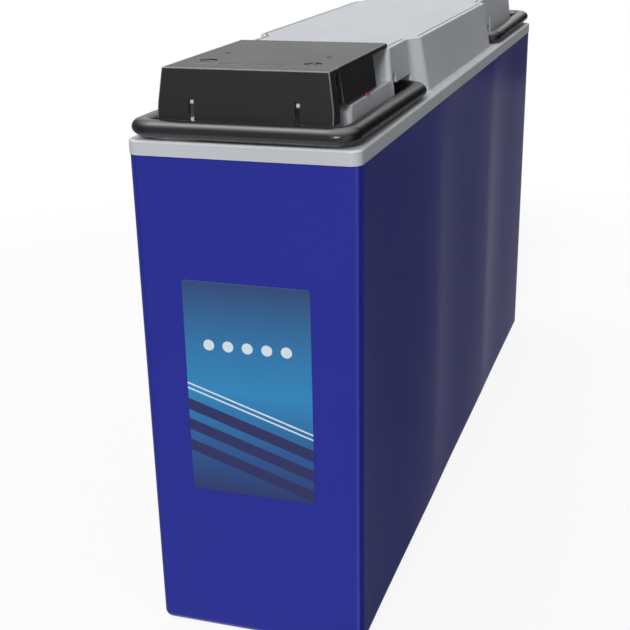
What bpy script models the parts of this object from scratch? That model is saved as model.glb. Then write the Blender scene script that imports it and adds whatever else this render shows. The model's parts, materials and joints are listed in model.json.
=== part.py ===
# Front-terminal deep cycle battery: a sealed 12 V block of six absorbed-glass-mat cells in a tall,
# narrow container, with a raised lid, a terminal cover at the front and two swing-up carrying handles.
# X is the width, Y the length with the terminals at -Y, Z is up, and the origin is the middle of the base.

import math

import bmesh
import bpy
from mathutils import Matrix, Vector

MM = 0.001

# Clearances
FIT = 0.3 * MM              # between pieces that touch, slide or are moulded to each other
CELL_PLAY = 1.0 * MM        # round the plate stack in its cell
ARM_GAP = 1.1 * MM          # handle arm to the tower
COVER_GAP = 1.6 * MM        # handle bar to the foot of the cover's flap
SWING_GAP = 2.2 * MM        # swinging handle bar to the flap's upper edge
LATCH_PLAY = 0.35 * MM      # latch in the flap's slot
GLUE = 0.1 * MM             # under the label

# Container
CASE_WIDTH = 125 * MM
CASE_LENGTH = 561 * MM
CASE_HEIGHT = 280 * MM
CASE_WALL = 3.2 * MM
CASE_FLOOR = 4 * MM
PARTITION = 2.4 * MM
CASE_DRAFT_X = 1.2 * MM     # per side, from rim to base
CASE_DRAFT_Y = 1.7 * MM
CASE_FOOT = 4.5 * MM        # rounding under the base
BASE_CORNER = 1.5 * MM      # corner of the flat base, inside that rounding
CELL_CORNER = 4 * MM
LABEL_WIDTH = 71.5 * MM
LABEL_HEIGHT = 123.5 * MM
LABEL_FOOT = 91.3 * MM      # base to the label's lower edge
LABEL_THICK = 0.3 * MM
LABEL_CORNER = 2 * MM

# Plates, separators and the lead that joins them
POSITIVE_THICK = 2.6 * MM
NEGATIVE_THICK = 1.9 * MM
SEPARATOR = 1.4 * MM
SEPARATOR_OVER = 3 * MM     # how far the glass mat stands above the plates
LUG_WIDTH = 14 * MM
LUG_INSET = 3 * MM          # plate end to its lug
LUG_RISE = 10 * MM          # plate top to the strap
STRAP_THICK = 8 * MM
STRAP_OVER = 2 * MM         # strap past the lugs, at each end
UPRIGHT_RISE = 18 * MM      # the strap's upright against a partition
UPRIGHT_THICK = 6 * MM
UPRIGHT_WIDTH = 24 * MM
UPRIGHT_ROOM = 6 * MM       # over the uprights, to the container's rim
WELD_RADIUS = 6 * MM

# Lid
LID_BAND = 8 * MM
LID_OVERHANG = 0.4 * MM
LID_EDGE = 1.5 * MM
LID_SKIN = 3.3 * MM
LID_STEP = 0.6 * MM         # each hollow under the lid steps in from the one below
LEDGE_SIDE = 5.3 * MM       # lid edge to the foot of the tower's wide part
TOWER_DRAFT_WIDE = 6 * MM
TOWER_DRAFT_NARROW = 3.5 * MM
TOWER_RAKE = 3 * MM         # lean of the tower's front and rear faces
SHOULDER = 10 * MM          # slanted run from wide to narrow
TERMINAL_BAY = 119.9 * MM   # lid's front edge to the tower's front edge
REAR_SHELF = 25.9 * MM      # lid's rear edge to the tower's rear edge
BLOCK_RISE = 15 * MM
BLOCK_INSET = 0.4 * MM      # block's sides inside the tower's narrow sides
CABLE_WELL = 28.7 * MM      # foot of the flap to the terminal block
LATCH_X = 28.4 * MM
LATCH_DEPTH = 6 * MM

# Vents
RIM = 1.9 * MM
GROOVE = 0.6 * MM           # shadow line round the vent cover
RECESS_CORNER = 1.1 * MM
VENT_PLATE = 2.5 * MM
VENT_WALL = 2 * MM
VENT_BORE = 3 * MM
CHIMNEY_RADIUS = 5.5 * MM
CHIMNEY_RISE = 2.8 * MM
CAP_WALL = 1.7 * MM
CAP_TOP = 1.3 * MM
VALVE_ROOM = 0.4 * MM       # valve to the vent cover above it
ARRESTOR_RADIUS = 6 * MM
ARRESTOR_THICK = 2.5 * MM
ARRESTOR_Y = 60 * MM

# Handles
HANDLE_WIDE = 11.4 * MM     # oval grip, across
HANDLE_TALL = 9.6 * MM
HANDLE_INSET = 1.2 * MM     # lid edge to the outside of the arm
HANDLE_CORNER = 13 * MM     # centre-line radius at the bar
HANDLE_ELBOW = 10 * MM      # centre-line radius at the pivot
BAR_SETBACK = 0.5 * MM      # container's face to the bar's centre
PIVOT_AHEAD = 8 * MM        # tower's shoulder to the pivot
PIN_RADIUS = 4 * MM
PIN_LENGTH = 8 * MM
LEG_LENGTH = 8 * MM         # straight run of the leg in the pivot pocket
POCKET_OVER = 2.8 * MM      # above the leg
POCKET_AHEAD = 33.5 * MM    # pivot to the pocket's outer end
POCKET_BEHIND = 1.7 * MM    # leg to the pocket's inner end
SLIT_LENGTH = 6 * MM
SLIT_RISE = 5.6 * MM        # above the pocket
BOSS_WALL = 3.5 * MM        # round the end of the pivot pin

# Terminals
TERMINAL_SETBACK = 27 * MM  # block front to the terminals
POST_RADIUS = 8 * MM
POST_PROUD = 4 * MM
RING_RADIUS = 17.2 * MM
RING_THICK = 0.8 * MM
BOLT_RADIUS = 3.9 * MM
BOLT_LENGTH = 16 * MM
BOLT_HEAD = 5.3 * MM
BOLT_ACROSS = 13 * MM       # across the flats
WASHER_RADIUS = 8 * MM
WASHER_THICK = 1.6 * MM
SPRING_RADIUS = 7 * MM
SPRING_THICK = 2 * MM
SPRING_SPLIT = 1.2 * MM
BOLT_ROOM = 4.4 * MM        # bolt head to the top of the tower

# Terminal cover
COVER_PLATE = 2.4 * MM
COVER_INSET = 2.6 * MM      # block edge to the cover's side
COVER_LAP = 2 * MM          # cover's rear edge over the tower
SKIRT_FRONT = 1.8 * MM      # hinge line to the skirt
CABLE_EXIT = 30.8 * MM      # skirt to the tower's front edge
SKIRT_WALL = 2.4 * MM
FLAP_DEPTH = 13.1 * MM
FLAP_FLARE = 2.6 * MM
FLAP_LIFT = 9.4 * MM        # lid to the flap's lower edge
FLAP_SLOPE_TALL = 19.2 * MM # sloping part of the flap's sides
FLAP_WALL = 2.4 * MM
FLAP_CLEAR = 6.5 * MM       # hinge line to the flap's side returns
SLOT_WIDTH = 2.9 * MM
SLOT_TALL = 12.3 * MM
PROBE_RADIUS = 1.6 * MM
MARK_RADIUS = 5 * MM        # round recesses with the polarity signs
MARK_DEPTH = 0.8 * MM
MARK_AHEAD = 27 * MM        # terminal to its polarity sign
SIGN_LENGTH = 7 * MM
SIGN_WIDTH = 1.8 * MM

# Facets
CORNER_STEPS = 5
ROUND = 16
GRIP_SIDES = 14

# Levels
lid_foot = CASE_HEIGHT + FIT
ledge = lid_foot + LID_BAND
block_top = ledge + BLOCK_RISE
ring_top = block_top + FIT + RING_THICK
post_top = block_top + POST_PROUD
flat_washer_foot = post_top + FIT
spring_washer_foot = flat_washer_foot + WASHER_THICK + FIT
head_foot = spring_washer_foot + SPRING_THICK + FIT
head_top = head_foot + BOLT_HEAD
tower_top = head_top + BOLT_ROOM
tower_rise = tower_top - ledge
vent_ceiling = tower_top - VENT_PLATE
recess_floor = vent_ceiling - VALVE_ROOM - CAP_TOP - FIT - CHIMNEY_RISE
cover_under = tower_top + FIT
cover_top = cover_under + COVER_PLATE
flap_foot = ledge + FLAP_LIFT
latch_top = flap_foot + SLOT_TALL - LATCH_PLAY
handle_z = ledge + FIT + HANDLE_TALL / 2
pocket_top = ledge + FIT + HANDLE_TALL + POCKET_OVER
slit_top = pocket_top + SLIT_RISE
plate_foot = CASE_FLOOR + FIT
upright_top = CASE_HEIGHT - UPRIGHT_ROOM
strap_top = upright_top - UPRIGHT_RISE
strap_foot = strap_top - STRAP_THICK
plate_top = strap_foot - LUG_RISE

# Widths, as half sizes from the middle plane
case_corner = BASE_CORNER + CASE_FOOT
tower_corner = RECESS_CORNER + RIM
strap_width = LUG_WIDTH + 2 * STRAP_OVER
case_half_x = CASE_WIDTH / 2
lid_half_x = case_half_x + LID_OVERHANG
arm_x = lid_half_x - HANDLE_INSET - HANDLE_WIDE / 2
arm_inner = arm_x - HANDLE_WIDE / 2
pocket_floor = arm_x - HANDLE_ELBOW - LEG_LENGTH - FIT
pin_end = pocket_floor - PIN_LENGTH
narrow_base = arm_inner - ARM_GAP
narrow_top = narrow_base - TOWER_DRAFT_NARROW
wide_base = lid_half_x - LEDGE_SIDE
wide_top = wide_base - TOWER_DRAFT_WIDE
block_base = narrow_base - BLOCK_INSET
block_half = block_base - TOWER_DRAFT_NARROW * BLOCK_RISE / tower_rise
cover_half = block_half - COVER_INSET
cell_inner_x = PARTITION / 2
cell_outer_x = case_half_x - CASE_WALL
terminal_x = (cell_inner_x + cell_outer_x) / 2
passage_inner_x = cell_inner_x + 2 * LID_STEP
passage_outer_x = pin_end - BOSS_WALL
vent_x = (passage_inner_x + passage_outer_x) / 2

# Lengths, as distances from the middle plane
case_half_y = CASE_LENGTH / 2
lid_half_y = case_half_y + LID_OVERHANG
bar_y = case_half_y - BAR_SETBACK
tower_front = lid_half_y - TERMINAL_BAY
tower_rear = lid_half_y - REAR_SHELF
pocket_end = tower_front - BOSS_WALL
pivot_y = pocket_end - POCKET_AHEAD
shoulder_y = pivot_y - PIVOT_AHEAD
wide_half = shoulder_y - SHOULDER
bar_reach = bar_y - pivot_y
flap_foot_y = bar_y - HANDLE_WIDE / 2 - COVER_GAP
swing_radius = bar_reach - HANDLE_WIDE / 2 - SWING_GAP
flap_top_y = pivot_y + math.sqrt(swing_radius ** 2 - (cover_top - handle_z) ** 2)
hinge_y = flap_top_y - FLAP_DEPTH
block_front = flap_foot_y - CABLE_WELL
terminal_y = -(block_front - TERMINAL_SETBACK)
inner_half_y = case_half_y - CASE_WALL
row_length = (2 * inner_half_y - 2 * PARTITION) / 3
partition_y = row_length / 2 + PARTITION / 2
passage_start = partition_y + PARTITION / 2 + LID_STEP
vent_y = (passage_start + tower_front) / 2

# The six cells in series order: side of the battery and row, back down the right and forward up the left
CELLS = [(1, -1), (1, 0), (1, 1), (-1, 1), (-1, 0), (-1, -1)]


def clear_scene():
    for old in list(bpy.data.objects):
        bpy.data.objects.remove(old, do_unlink=True)


def make_material(name, colour, roughness, metallic=0.0):
    mat = bpy.data.materials.new(name)
    mat.use_nodes = True
    shader = mat.node_tree.nodes["Principled BSDF"]
    shader.inputs["Base Color"].default_value = (*colour, 1.0)
    shader.inputs["Roughness"].default_value = roughness
    shader.inputs["Metallic"].default_value = metallic
    return mat


def add_object(name, bm, mat=None, smooth=False):
    bmesh.ops.recalc_face_normals(bm, faces=bm.faces)
    mesh = bpy.data.meshes.new(name)
    bm.to_mesh(mesh)
    bm.free()
    if mat:
        mesh.materials.append(mat)
    if smooth:
        mesh.shade_smooth()
        mesh.set_sharp_from_angle(angle=math.radians(40))
    obj = bpy.data.objects.new(name, mesh)
    bpy.context.collection.objects.link(obj)
    return obj


def combine(target, tool, operation):
    # Joins or cuts the target with the tool for good, and removes the tool
    modifier = target.modifiers.new("combine", "BOOLEAN")
    modifier.operation = operation
    modifier.solver = "EXACT"
    modifier.object = tool
    bpy.context.view_layer.update()
    evaluated = target.evaluated_get(bpy.context.evaluated_depsgraph_get())
    mesh = bpy.data.meshes.new_from_object(evaluated)
    target.modifiers.clear()
    old = target.data
    mesh.name = old.name
    target.data = mesh
    bpy.data.meshes.remove(old)
    bpy.data.objects.remove(tool, do_unlink=True)


def cut(target, shapes):
    combine(target, add_object("cutter", merged(shapes)), "DIFFERENCE")


def join(target, shapes):
    combine(target, add_object("addition", merged(shapes)), "UNION")


def merged(shapes):
    # One mesh from several that stay clear of each other
    bm = bmesh.new()
    for shape in shapes:
        bmesh.ops.recalc_face_normals(shape, faces=shape.faces)
        mesh = bpy.data.meshes.new("piece")
        shape.to_mesh(mesh)
        shape.free()
        bm.from_mesh(mesh)
        bpy.data.meshes.remove(mesh)
    return bm


def skin(rings, closed=False):
    # A solid from rings of points: each ring is bridged to the next, and the ends are capped or joined.
    # A ring of one point is a tip.
    bm = bmesh.new()
    loops = [[bm.verts.new(point) for point in ring] for ring in rings]
    pairs = list(zip(loops, loops[1:]))
    if closed:
        pairs.append((loops[-1], loops[0]))
    for lower, upper in pairs:
        count = max(len(lower), len(upper))
        for i in range(count):
            j = (i + 1) % count
            corners = []
            for loop, index in ((lower, i), (lower, j), (upper, j), (upper, i)):
                vert = loop[index % len(loop)]
                if vert not in corners:
                    corners.append(vert)
            bm.faces.new(corners)
    if not closed:
        for loop in (loops[0], loops[-1]):
            if len(loop) > 2:
                bm.faces.new(loop)
    return bm


def loft(sections):
    # A solid between flat outlines, each given with its height
    return skin([[(x, y, z) for x, y in outline] for outline, z in sections])


def turned(profile, x=0.0, y=0.0, closed=False, sides=ROUND):
    # A solid of revolution about an upright axis from (radius, height) points
    rings = []
    for radius, z in profile:
        if radius == 0:
            rings.append([(x, y, z)])
            continue
        turns = [2 * math.pi * i / sides for i in range(sides)]
        rings.append([(x + radius * math.cos(t), y + radius * math.sin(t), z) for t in turns])
    return skin(rings, closed)


def rod(start, end, radius, sides=ROUND):
    # A round bar between two points
    axis = Vector(end) - Vector(start)
    bm = turned([(radius, 0), (radius, axis.length)], sides=sides)
    turn = axis.to_track_quat("Z", "Y").to_matrix().to_4x4()
    bm.transform(Matrix.Translation(start) @ turn)
    return bm


def rectangle(x0, x1, y0, y1):
    return [(x0, y0), (x1, y0), (x1, y1), (x0, y1)]


def box(x0, x1, y0, y1, z0, z1):
    x0, x1 = sorted((x0, x1))
    outline = rectangle(x0, x1, y0, y1)
    return loft([(outline, z0), (outline, z1)])


def rounded(outline, radius, steps=CORNER_STEPS):
    # The outline with an arc at each corner
    points = []
    count = len(outline)
    for i, corner in enumerate(outline):
        here = Vector(corner)
        back = (Vector(outline[i - 1]) - here).normalized()
        ahead = (Vector(outline[(i + 1) % count]) - here).normalized()
        half = back.angle(ahead) / 2
        centre = here + (back + ahead).normalized() * radius / math.sin(half)
        first = here + back * radius / math.tan(half) - centre
        last = here + ahead * radius / math.tan(half) - centre
        sweep = first.angle_signed(last)
        for k in range(steps + 1):
            turn = Matrix.Rotation(-sweep * k / steps, 2)
            points.append(tuple(centre + turn @ first))
    return points


def inset(outline, distance):
    # The outline with each side moved inwards
    points = []
    count = len(outline)
    for i, corner in enumerate(outline):
        here = Vector(corner)
        back = (here - Vector(outline[i - 1])).normalized()
        ahead = (Vector(outline[(i + 1) % count]) - here).normalized()
        normals = Vector((-back.y, back.x)) + Vector((-ahead.y, ahead.x))
        points.append(tuple(here + normals * 2 * distance / normals.length_squared))
    return points


def mirrored(outline):
    return [(-x, y) for x, y in reversed(outline)]


def ribbon(path, thick, z0, z1):
    # An upright sheet of even thickness that follows a path of straight runs
    rings = []
    for i, point in enumerate(path):
        here = Vector(point)
        back = (here - Vector(path[i - 1])).normalized() if i else None
        ahead = (Vector(path[i + 1]) - here).normalized() if i + 1 < len(path) else back
        back = back or ahead
        normals = Vector((-back.y, back.x)) + Vector((-ahead.y, ahead.x))
        side = normals * thick / normals.length_squared
        left, right = here + side, here - side
        rings.append([(*left, z0), (*right, z0), (*right, z1), (*left, z1)])
    return skin(rings)


def case_outline(z, wall=0.0):
    # The container's plan at a height, inside its draft
    lean = 1 - z / CASE_HEIGHT
    half_x = case_half_x - CASE_DRAFT_X * lean - wall
    half_y = case_half_y - CASE_DRAFT_Y * lean - wall
    return rectangle(-half_x, half_x, -half_y, half_y)


def cell_outline(side, row, z):
    # One cell's plan at a height: drafted at the container's walls, upright at the partitions
    (x_low, y_low), _, (x_high, y_high), _ = case_outline(z, CASE_WALL)
    y0 = y_low if row < 0 else row * partition_y + PARTITION / 2 - (row == 0) * partition_y
    y1 = y_high if row > 0 else row * partition_y - PARTITION / 2 + (row == 0) * partition_y
    x0, x1 = (cell_inner_x, x_high) if side > 0 else (x_low, -cell_inner_x)
    return rectangle(x0, x1, y0, y1)


def tower_outline(base):
    # The tower's plan: narrow ends for the handles, wide between the shoulders
    narrow = narrow_base if base else narrow_top
    wide = wide_base if base else wide_top
    rake = TOWER_RAKE if base else 0
    right = [(narrow, -tower_front - rake), (narrow, -shoulder_y), (wide, -wide_half),
             (wide, wide_half), (narrow, shoulder_y), (narrow, tower_rear + rake)]
    return right + mirrored(right)


def make_container(mat):
    sections = []
    for k in range(CORNER_STEPS):
        turn = math.pi / 2 * k / (CORNER_STEPS - 1)
        z = CASE_FOOT * (1 - math.cos(turn))
        tuck = CASE_FOOT * (1 - math.sin(turn))
        outline = inset(case_outline(z), tuck)
        sections.append((rounded(outline, case_corner - tuck), z))
    sections.append((rounded(case_outline(CASE_HEIGHT), case_corner), CASE_HEIGHT))
    case = add_object("container", loft(sections), mat)
    over = CASE_HEIGHT + FIT
    cells = []
    for side, row in CELLS:
        floor = rounded(cell_outline(side, row, CASE_FLOOR), CELL_CORNER, 3)
        mouth = rounded(cell_outline(side, row, over), CELL_CORNER, 3)
        cells.append(loft([(floor, CASE_FLOOR), (mouth, over)]))
    cut(case, cells)
    cut(case, [rod(start, end, WELD_RADIUS + FIT) for start, end in weld_runs(PARTITION)])
    return case


def weld_runs(reach):
    # Where the lead passes through each partition, as start and end points
    z = (strap_top + upright_top) / 2
    runs = []
    for (side, row), (next_side, next_row) in zip(CELLS, CELLS[1:]):
        if side == next_side:
            middle = Vector((side * terminal_x, (row + next_row) * partition_y, z))
            along = Vector((0, reach, 0))
        else:
            middle = Vector((0, strap_y(row, 1), z))
            along = Vector((reach, 0, 0))
        runs.append((middle - along, middle + along))
    return runs


def plate_ends(row):
    # Front and rear ends of a cell's plates
    front = [corner[1] for corner in cell_outline(1, row, CASE_FLOOR)]
    room = SEPARATOR + 2 * FIT + CELL_PLAY
    return min(front) + room, max(front) - room


def strap_y(row, end):
    # Middle of the strap at the front (-1) or rear (1) end of a cell
    front, rear = plate_ends(row)
    reach = LUG_INSET + LUG_WIDTH / 2
    return front + reach if end < 0 else rear - reach


def stack_places():
    # Each plate's place across the cell, and whether it is positive: negatives are outermost
    span = cell_outline(1, 0, CASE_FLOOR)
    low, high = span[0][0], span[1][0]
    gap = SEPARATOR + 2 * FIT
    pitch = POSITIVE_THICK + NEGATIVE_THICK + 2 * gap
    pairs = int((high - low - 2 * CELL_PLAY - NEGATIVE_THICK) / pitch)
    x = (low + high - pairs * pitch - NEGATIVE_THICK) / 2
    places = []
    for k in range(2 * pairs + 1):
        thick = POSITIVE_THICK if k % 2 else NEGATIVE_THICK
        places.append((x, x + thick, k % 2 == 1))
        x += thick + gap
    return places


def make_plate_group(name, cell, positive, mat):
    # Plates of one polarity, joined by their lugs to a cast strap
    side, row = CELLS[cell]
    end = -side if positive else side
    front, rear = plate_ends(row)
    y = strap_y(row, end)
    at_terminal = cell == (0 if positive else len(CELLS) - 1)
    crosses = CELLS[cell - 1 if positive else (cell + 1) % len(CELLS)][0] != side and not at_terminal
    if at_terminal:
        y = terminal_y
    places = [(x0, x1) for x0, x1, is_positive in stack_places() if is_positive == positive]
    plates = []
    for x0, x1 in places:
        lug0, lug1 = y - LUG_WIDTH / 2, y + LUG_WIDTH / 2
        into = strap_foot + STRAP_THICK / 2
        edge = [(front, plate_foot), (rear, plate_foot), (rear, plate_top), (lug1, plate_top),
                (lug1, into), (lug0, into), (lug0, plate_top), (front, plate_top)]
        plates.append(skin([[(side * x, py, pz) for py, pz in edge] for x in (x0, x1)]))
    group = add_object(name, merged(plates), mat)
    x0, x1 = places[0][0], places[-1][1]
    y0, y1 = y - strap_width / 2, y + strap_width / 2
    if crosses:
        x0 = cell_inner_x + FIT
    join(group, [box(side * x0, side * x1, y0, y1, strap_foot, strap_top)])
    if at_terminal:
        return group
    if crosses:
        upright = (side * x0, side * (x0 + UPRIGHT_THICK), y0, y1)
    else:
        wall = row * partition_y + end * (partition_y if row == 0 else 0)
        face = wall - end * (PARTITION / 2 + FIT)
        near, far = sorted((face, face - end * UPRIGHT_THICK))
        middle = side * terminal_x
        upright = (middle - UPRIGHT_WIDTH / 2, middle + UPRIGHT_WIDTH / 2, near, far)
    join(group, [box(*upright, strap_foot + STRAP_THICK / 2, upright_top)])
    return group


def make_separator(name, cell, mat):
    # Glass mat folded back and forth between the plates, round their front and rear ends
    side, row = CELLS[cell]
    front, rear = plate_ends(row)
    wrap = FIT + SEPARATOR / 2
    path = []
    places = stack_places()
    for k, (left, right) in enumerate(zip(places, places[1:])):
        x = side * (left[1] + right[0]) / 2
        run = [(x, front - wrap), (x, rear + wrap)]
        path += run if k % 2 == 0 else run[::-1]
    return add_object(name, ribbon(path, SEPARATOR, plate_foot, plate_top + SEPARATOR_OVER), mat)


def make_welds(mat):
    for number, (start, end) in enumerate(weld_runs(PARTITION / 2), 1):
        add_object(f"intercell_weld_{number}", rod(start, end, WELD_RADIUS), mat)


def lid_chambers():
    # The spaces over the cells, in groups that are cut one after another: the cells' mouths, the hollows of
    # the block and the tower, and the passages between the handles' pockets
    top = recess_floor - LID_SKIN
    block_roof = block_top - LID_SKIN
    flat = ledge - LID_SKIN
    start = flat - LID_SKIN / 2
    middle_half = min(row_length / 2 - LID_STEP, wide_half - LID_SKIN)
    rows = {-1: (block_half - LID_SKIN, LID_SKIN - block_front, -tower_front, block_roof),
            0: (wide_top - LID_SKIN, -middle_half, middle_half, top),
            1: (narrow_top - LID_SKIN, tower_front, tower_rear - LID_SKIN, top)}
    mouths, hollows, passages = [], [], []
    for side, row in CELLS:
        mouth = cell_outline(side, row, CASE_HEIGHT)
        mouths.append(loft([(mouth, lid_foot - FIT), (mouth, flat)]))
        outer_x, y0, y1, roof = rows[row]
        hollows.append(box(side * (cell_inner_x + LID_STEP), side * outer_x, y0, y1, start, roof))
        if row:
            near, far = sorted((row * passage_start, row * (tower_front + LID_STEP)))
            passages.append(box(side * passage_inner_x, side * passage_outer_x, near, far,
                                start - LID_STEP, roof - LID_STEP))
    shafts = []
    for side in (-1, 1):
        inner, outer = side * (passage_inner_x + LID_STEP), side * (passage_outer_x - LID_STEP)
        shafts.append(box(inner, outer, LID_SKIN - tower_front, -passage_start - LID_STEP, start, top))
    return mouths, hollows, passages, shafts


def make_lid(mat):
    rim = rectangle(-lid_half_x, lid_half_x, -lid_half_y, lid_half_y)
    corner = case_corner + LID_OVERHANG
    sections = [(rounded(rim, corner), lid_foot)]
    for turn in (0, math.pi / 4, math.pi / 2):
        tuck = LID_EDGE * (1 - math.cos(turn))
        z = ledge - LID_EDGE * (1 - math.sin(turn))
        sections.append((rounded(inset(rim, tuck), corner - tuck), z))
    lid = add_object("lid", loft(sections), mat)
    add_tower(lid)
    add_block(lid)
    for chambers in lid_chambers():
        cut(lid, chambers)
    cut_vent_recess(lid)
    cut_pivots(lid)
    cut_ports(lid)
    return lid


def add_tower(lid):
    root = ledge - LID_SKIN / 2
    base, crown = tower_outline(True), tower_outline(False)
    lean = (ledge - root) / tower_rise
    foot = [(b[0] + (b[0] - c[0]) * lean, b[1] + (b[1] - c[1]) * lean) for b, c in zip(base, crown)]
    join(lid, [loft([(rounded(foot, tower_corner, 3), root), (rounded(crown, tower_corner, 3), tower_top)])])


def add_block(lid):
    # The lower block that carries the terminals, and the two latches for the cover's flap ahead of it
    root = ledge - LID_SKIN / 2
    foot_half = block_base + (block_base - block_half) * (ledge - root) / BLOCK_RISE
    back = LID_SKIN - tower_front
    join(lid, [loft([(rectangle(-foot_half, foot_half, -block_front, back), root),
                     (rectangle(-block_half, block_half, -block_front, back), block_top)])])
    front = FLAP_WALL - flap_foot_y
    half = SLOT_WIDTH / 2 - LATCH_PLAY
    join(lid, [box(x - half, x + half, front, front + LATCH_DEPTH, root, latch_top)
               for x in (-LATCH_X, LATCH_X)])


def cut_vent_recess(lid):
    # The tray under the vent cover, with a chimney over each cell
    recess = rounded(inset(tower_outline(False), RIM), RECESS_CORNER, 3)
    cut(lid, [loft([(recess, recess_floor), (recess, tower_top + FIT)])])
    root = recess_floor - LID_SKIN / 2
    mouth = recess_floor + CHIMNEY_RISE
    join(lid, [turned([(CHIMNEY_RADIUS, root), (CHIMNEY_RADIUS, mouth)], x, y) for x, y in vent_places()])


def cut_pivots(lid):
    # A pocket, a moulding slit and a pin bore for each leg of the handles
    pockets, slits, bores = [], [], []
    for side, end in ((-1, -1), (-1, 1), (1, -1), (1, 1)):
        inner, outer = side * pocket_floor, side * arm_x
        near, far = sorted((end * (pivot_y - HANDLE_TALL / 2 - POCKET_BEHIND), end * pocket_end))
        pockets.append(box(inner, outer, near, far, ledge, pocket_top))
        near, far = sorted((end * (pocket_end - SLIT_LENGTH), end * pocket_end))
        slits.append(box(inner, outer, near, far, handle_z, slit_top))
        bores.append(rod((side * (pin_end - FIT), end * pivot_y, handle_z),
                         (side * arm_inner, end * pivot_y, handle_z), PIN_RADIUS + FIT))
    cut(lid, pockets)
    cut(lid, slits)
    cut(lid, bores)


def cut_ports(lid):
    # Holes for the terminal posts and the bores of the vent chimneys
    bore = POST_RADIUS + FIT
    wall = [(bore, ledge), (bore, block_top + FIT)]
    holes = [turned(wall, side * terminal_x, terminal_y) for side in (-1, 1)]
    low = recess_floor - LID_SKIN - FIT
    high = recess_floor + CHIMNEY_RISE + FIT
    holes += [turned([(VENT_BORE, low), (VENT_BORE, high)], x, y) for x, y in vent_places()]
    cut(lid, holes)


def vent_places():
    return [(side * vent_x, row * vent_y) for side, row in CELLS]


def make_vent_cover(mat):
    crown = tower_outline(False)
    edge = RIM + GROOVE
    outer = rounded(inset(crown, edge), RECESS_CORNER, 3)
    inner = rounded(inset(crown, edge + VENT_WALL), RECESS_CORNER, 3)
    foot = recess_floor + FIT
    rings = [(inner, vent_ceiling), (inner, foot), (outer, foot), (outer, tower_top)]
    cover = add_object("vent_cover", loft(rings), mat)
    bore = ARRESTOR_RADIUS + FIT
    low = vent_ceiling - FIT - ARRESTOR_THICK
    high = vent_ceiling + VENT_PLATE / 2
    join(cover, [turned([(bore, low), (bore + VENT_WALL, low), (bore + VENT_WALL, high), (bore, high)],
                        0, ARRESTOR_Y, closed=True)])
    return cover


def make_vents(rubber, ceramic):
    for number, (x, y) in enumerate(vent_places(), 1):
        bore = CHIMNEY_RADIUS + FIT
        foot = recess_floor + FIT
        roof = recess_floor + CHIMNEY_RISE + FIT
        profile = [(0, roof), (bore, roof), (bore, foot), (bore + CAP_WALL, foot),
                   (bore + CAP_WALL, roof + CAP_TOP), (0, roof + CAP_TOP)]
        add_object(f"relief_valve_{number}", turned(profile, x, y), rubber, smooth=True)
    top = vent_ceiling - FIT
    disc = turned([(ARRESTOR_RADIUS, top - ARRESTOR_THICK), (ARRESTOR_RADIUS, top)], 0, ARRESTOR_Y)
    add_object("flame_arrestor", disc, ceramic, smooth=True)


def make_terminal(polarity, side, lead, ring_plastic, steel):
    x, y = side * terminal_x, terminal_y
    bore = BOLT_RADIUS + FIT
    bore_floor = post_top - BOLT_LENGTH
    post = turned([(0, strap_top + FIT), (POST_RADIUS, strap_top + FIT), (POST_RADIUS, post_top),
                   (bore, post_top), (bore, bore_floor), (0, bore_floor)], x, y)
    add_object(f"{polarity}_terminal_post", post, lead, smooth=True)
    ring = washer(POST_RADIUS + FIT, RING_RADIUS, block_top + FIT, RING_THICK, x, y, 2 * ROUND)
    add_object(f"{polarity}_seal_ring", ring, ring_plastic, smooth=True)
    flat = washer(bore, WASHER_RADIUS, flat_washer_foot, WASHER_THICK, x, y)
    add_object(f"{polarity}_flat_washer", flat, steel, smooth=True)
    split = washer(bore, SPRING_RADIUS, spring_washer_foot, SPRING_THICK, x, y)
    spring = add_object(f"{polarity}_spring_washer", split, steel, smooth=True)
    cut(spring, [box(x, x + 2 * SPRING_RADIUS, y - SPRING_SPLIT / 2, y + SPRING_SPLIT / 2,
                     spring_washer_foot - FIT, head_foot)])
    corner = BOLT_ACROSS / math.sqrt(3)
    head = turned([(corner, head_foot), (corner, head_top)], x, y, sides=6)
    bolt = add_object(f"{polarity}_terminal_bolt", head, steel)
    join(bolt, [turned([(BOLT_RADIUS, bore_floor + FIT), (BOLT_RADIUS, head_foot + BOLT_HEAD / 2)], x, y)])


def washer(inner, outer, z, thick, x, y, sides=ROUND):
    profile = [(inner, z), (outer, z), (outer, z + thick), (inner, z + thick)]
    return turned(profile, x, y, closed=True, sides=sides)


def make_terminal_cover(mat):
    # Top plate with two side skirts, lifted straight off
    front = -hinge_y + FIT / 2
    rear = COVER_LAP - tower_front
    plate = box(-cover_half, cover_half, front, rear, cover_under, cover_top)
    cover = add_object("terminal_cover", plate, mat)
    skirt = front + SKIRT_FRONT
    inner = cover_half - SKIRT_WALL
    middle = cover_under + COVER_PLATE / 2
    skirt_rear = -tower_front - CABLE_EXIT
    join(cover, [box(side * inner, side * cover_half, skirt, skirt_rear, ring_top + FIT, middle)
                 for side in (-1, 1)])
    holes = []
    marks = []
    for side in (-1, 1):
        x, y = side * terminal_x, terminal_y
        holes.append(rod((x, y, cover_under - FIT), (x, y, cover_top + FIT), PROBE_RADIUS, 10))
        floor = cover_top - MARK_DEPTH
        marks.append(rod((x, y - MARK_AHEAD, floor), (x, y - MARK_AHEAD, cover_top + FIT), MARK_RADIUS))
    cut(cover, holes + marks)
    for side in (-1, 1):
        x, y = side * terminal_x, terminal_y - MARK_AHEAD
        low = cover_top - MARK_DEPTH - COVER_PLATE / 4
        long, wide = SIGN_LENGTH / 2, SIGN_WIDTH / 2
        join(cover, [box(x - long, x + long, y - wide, y + wide, low, cover_top)])
        if side > 0:
            join(cover, [box(x - wide, x + wide, y - long, y + long, low, cover_top)])
    return cover


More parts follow.
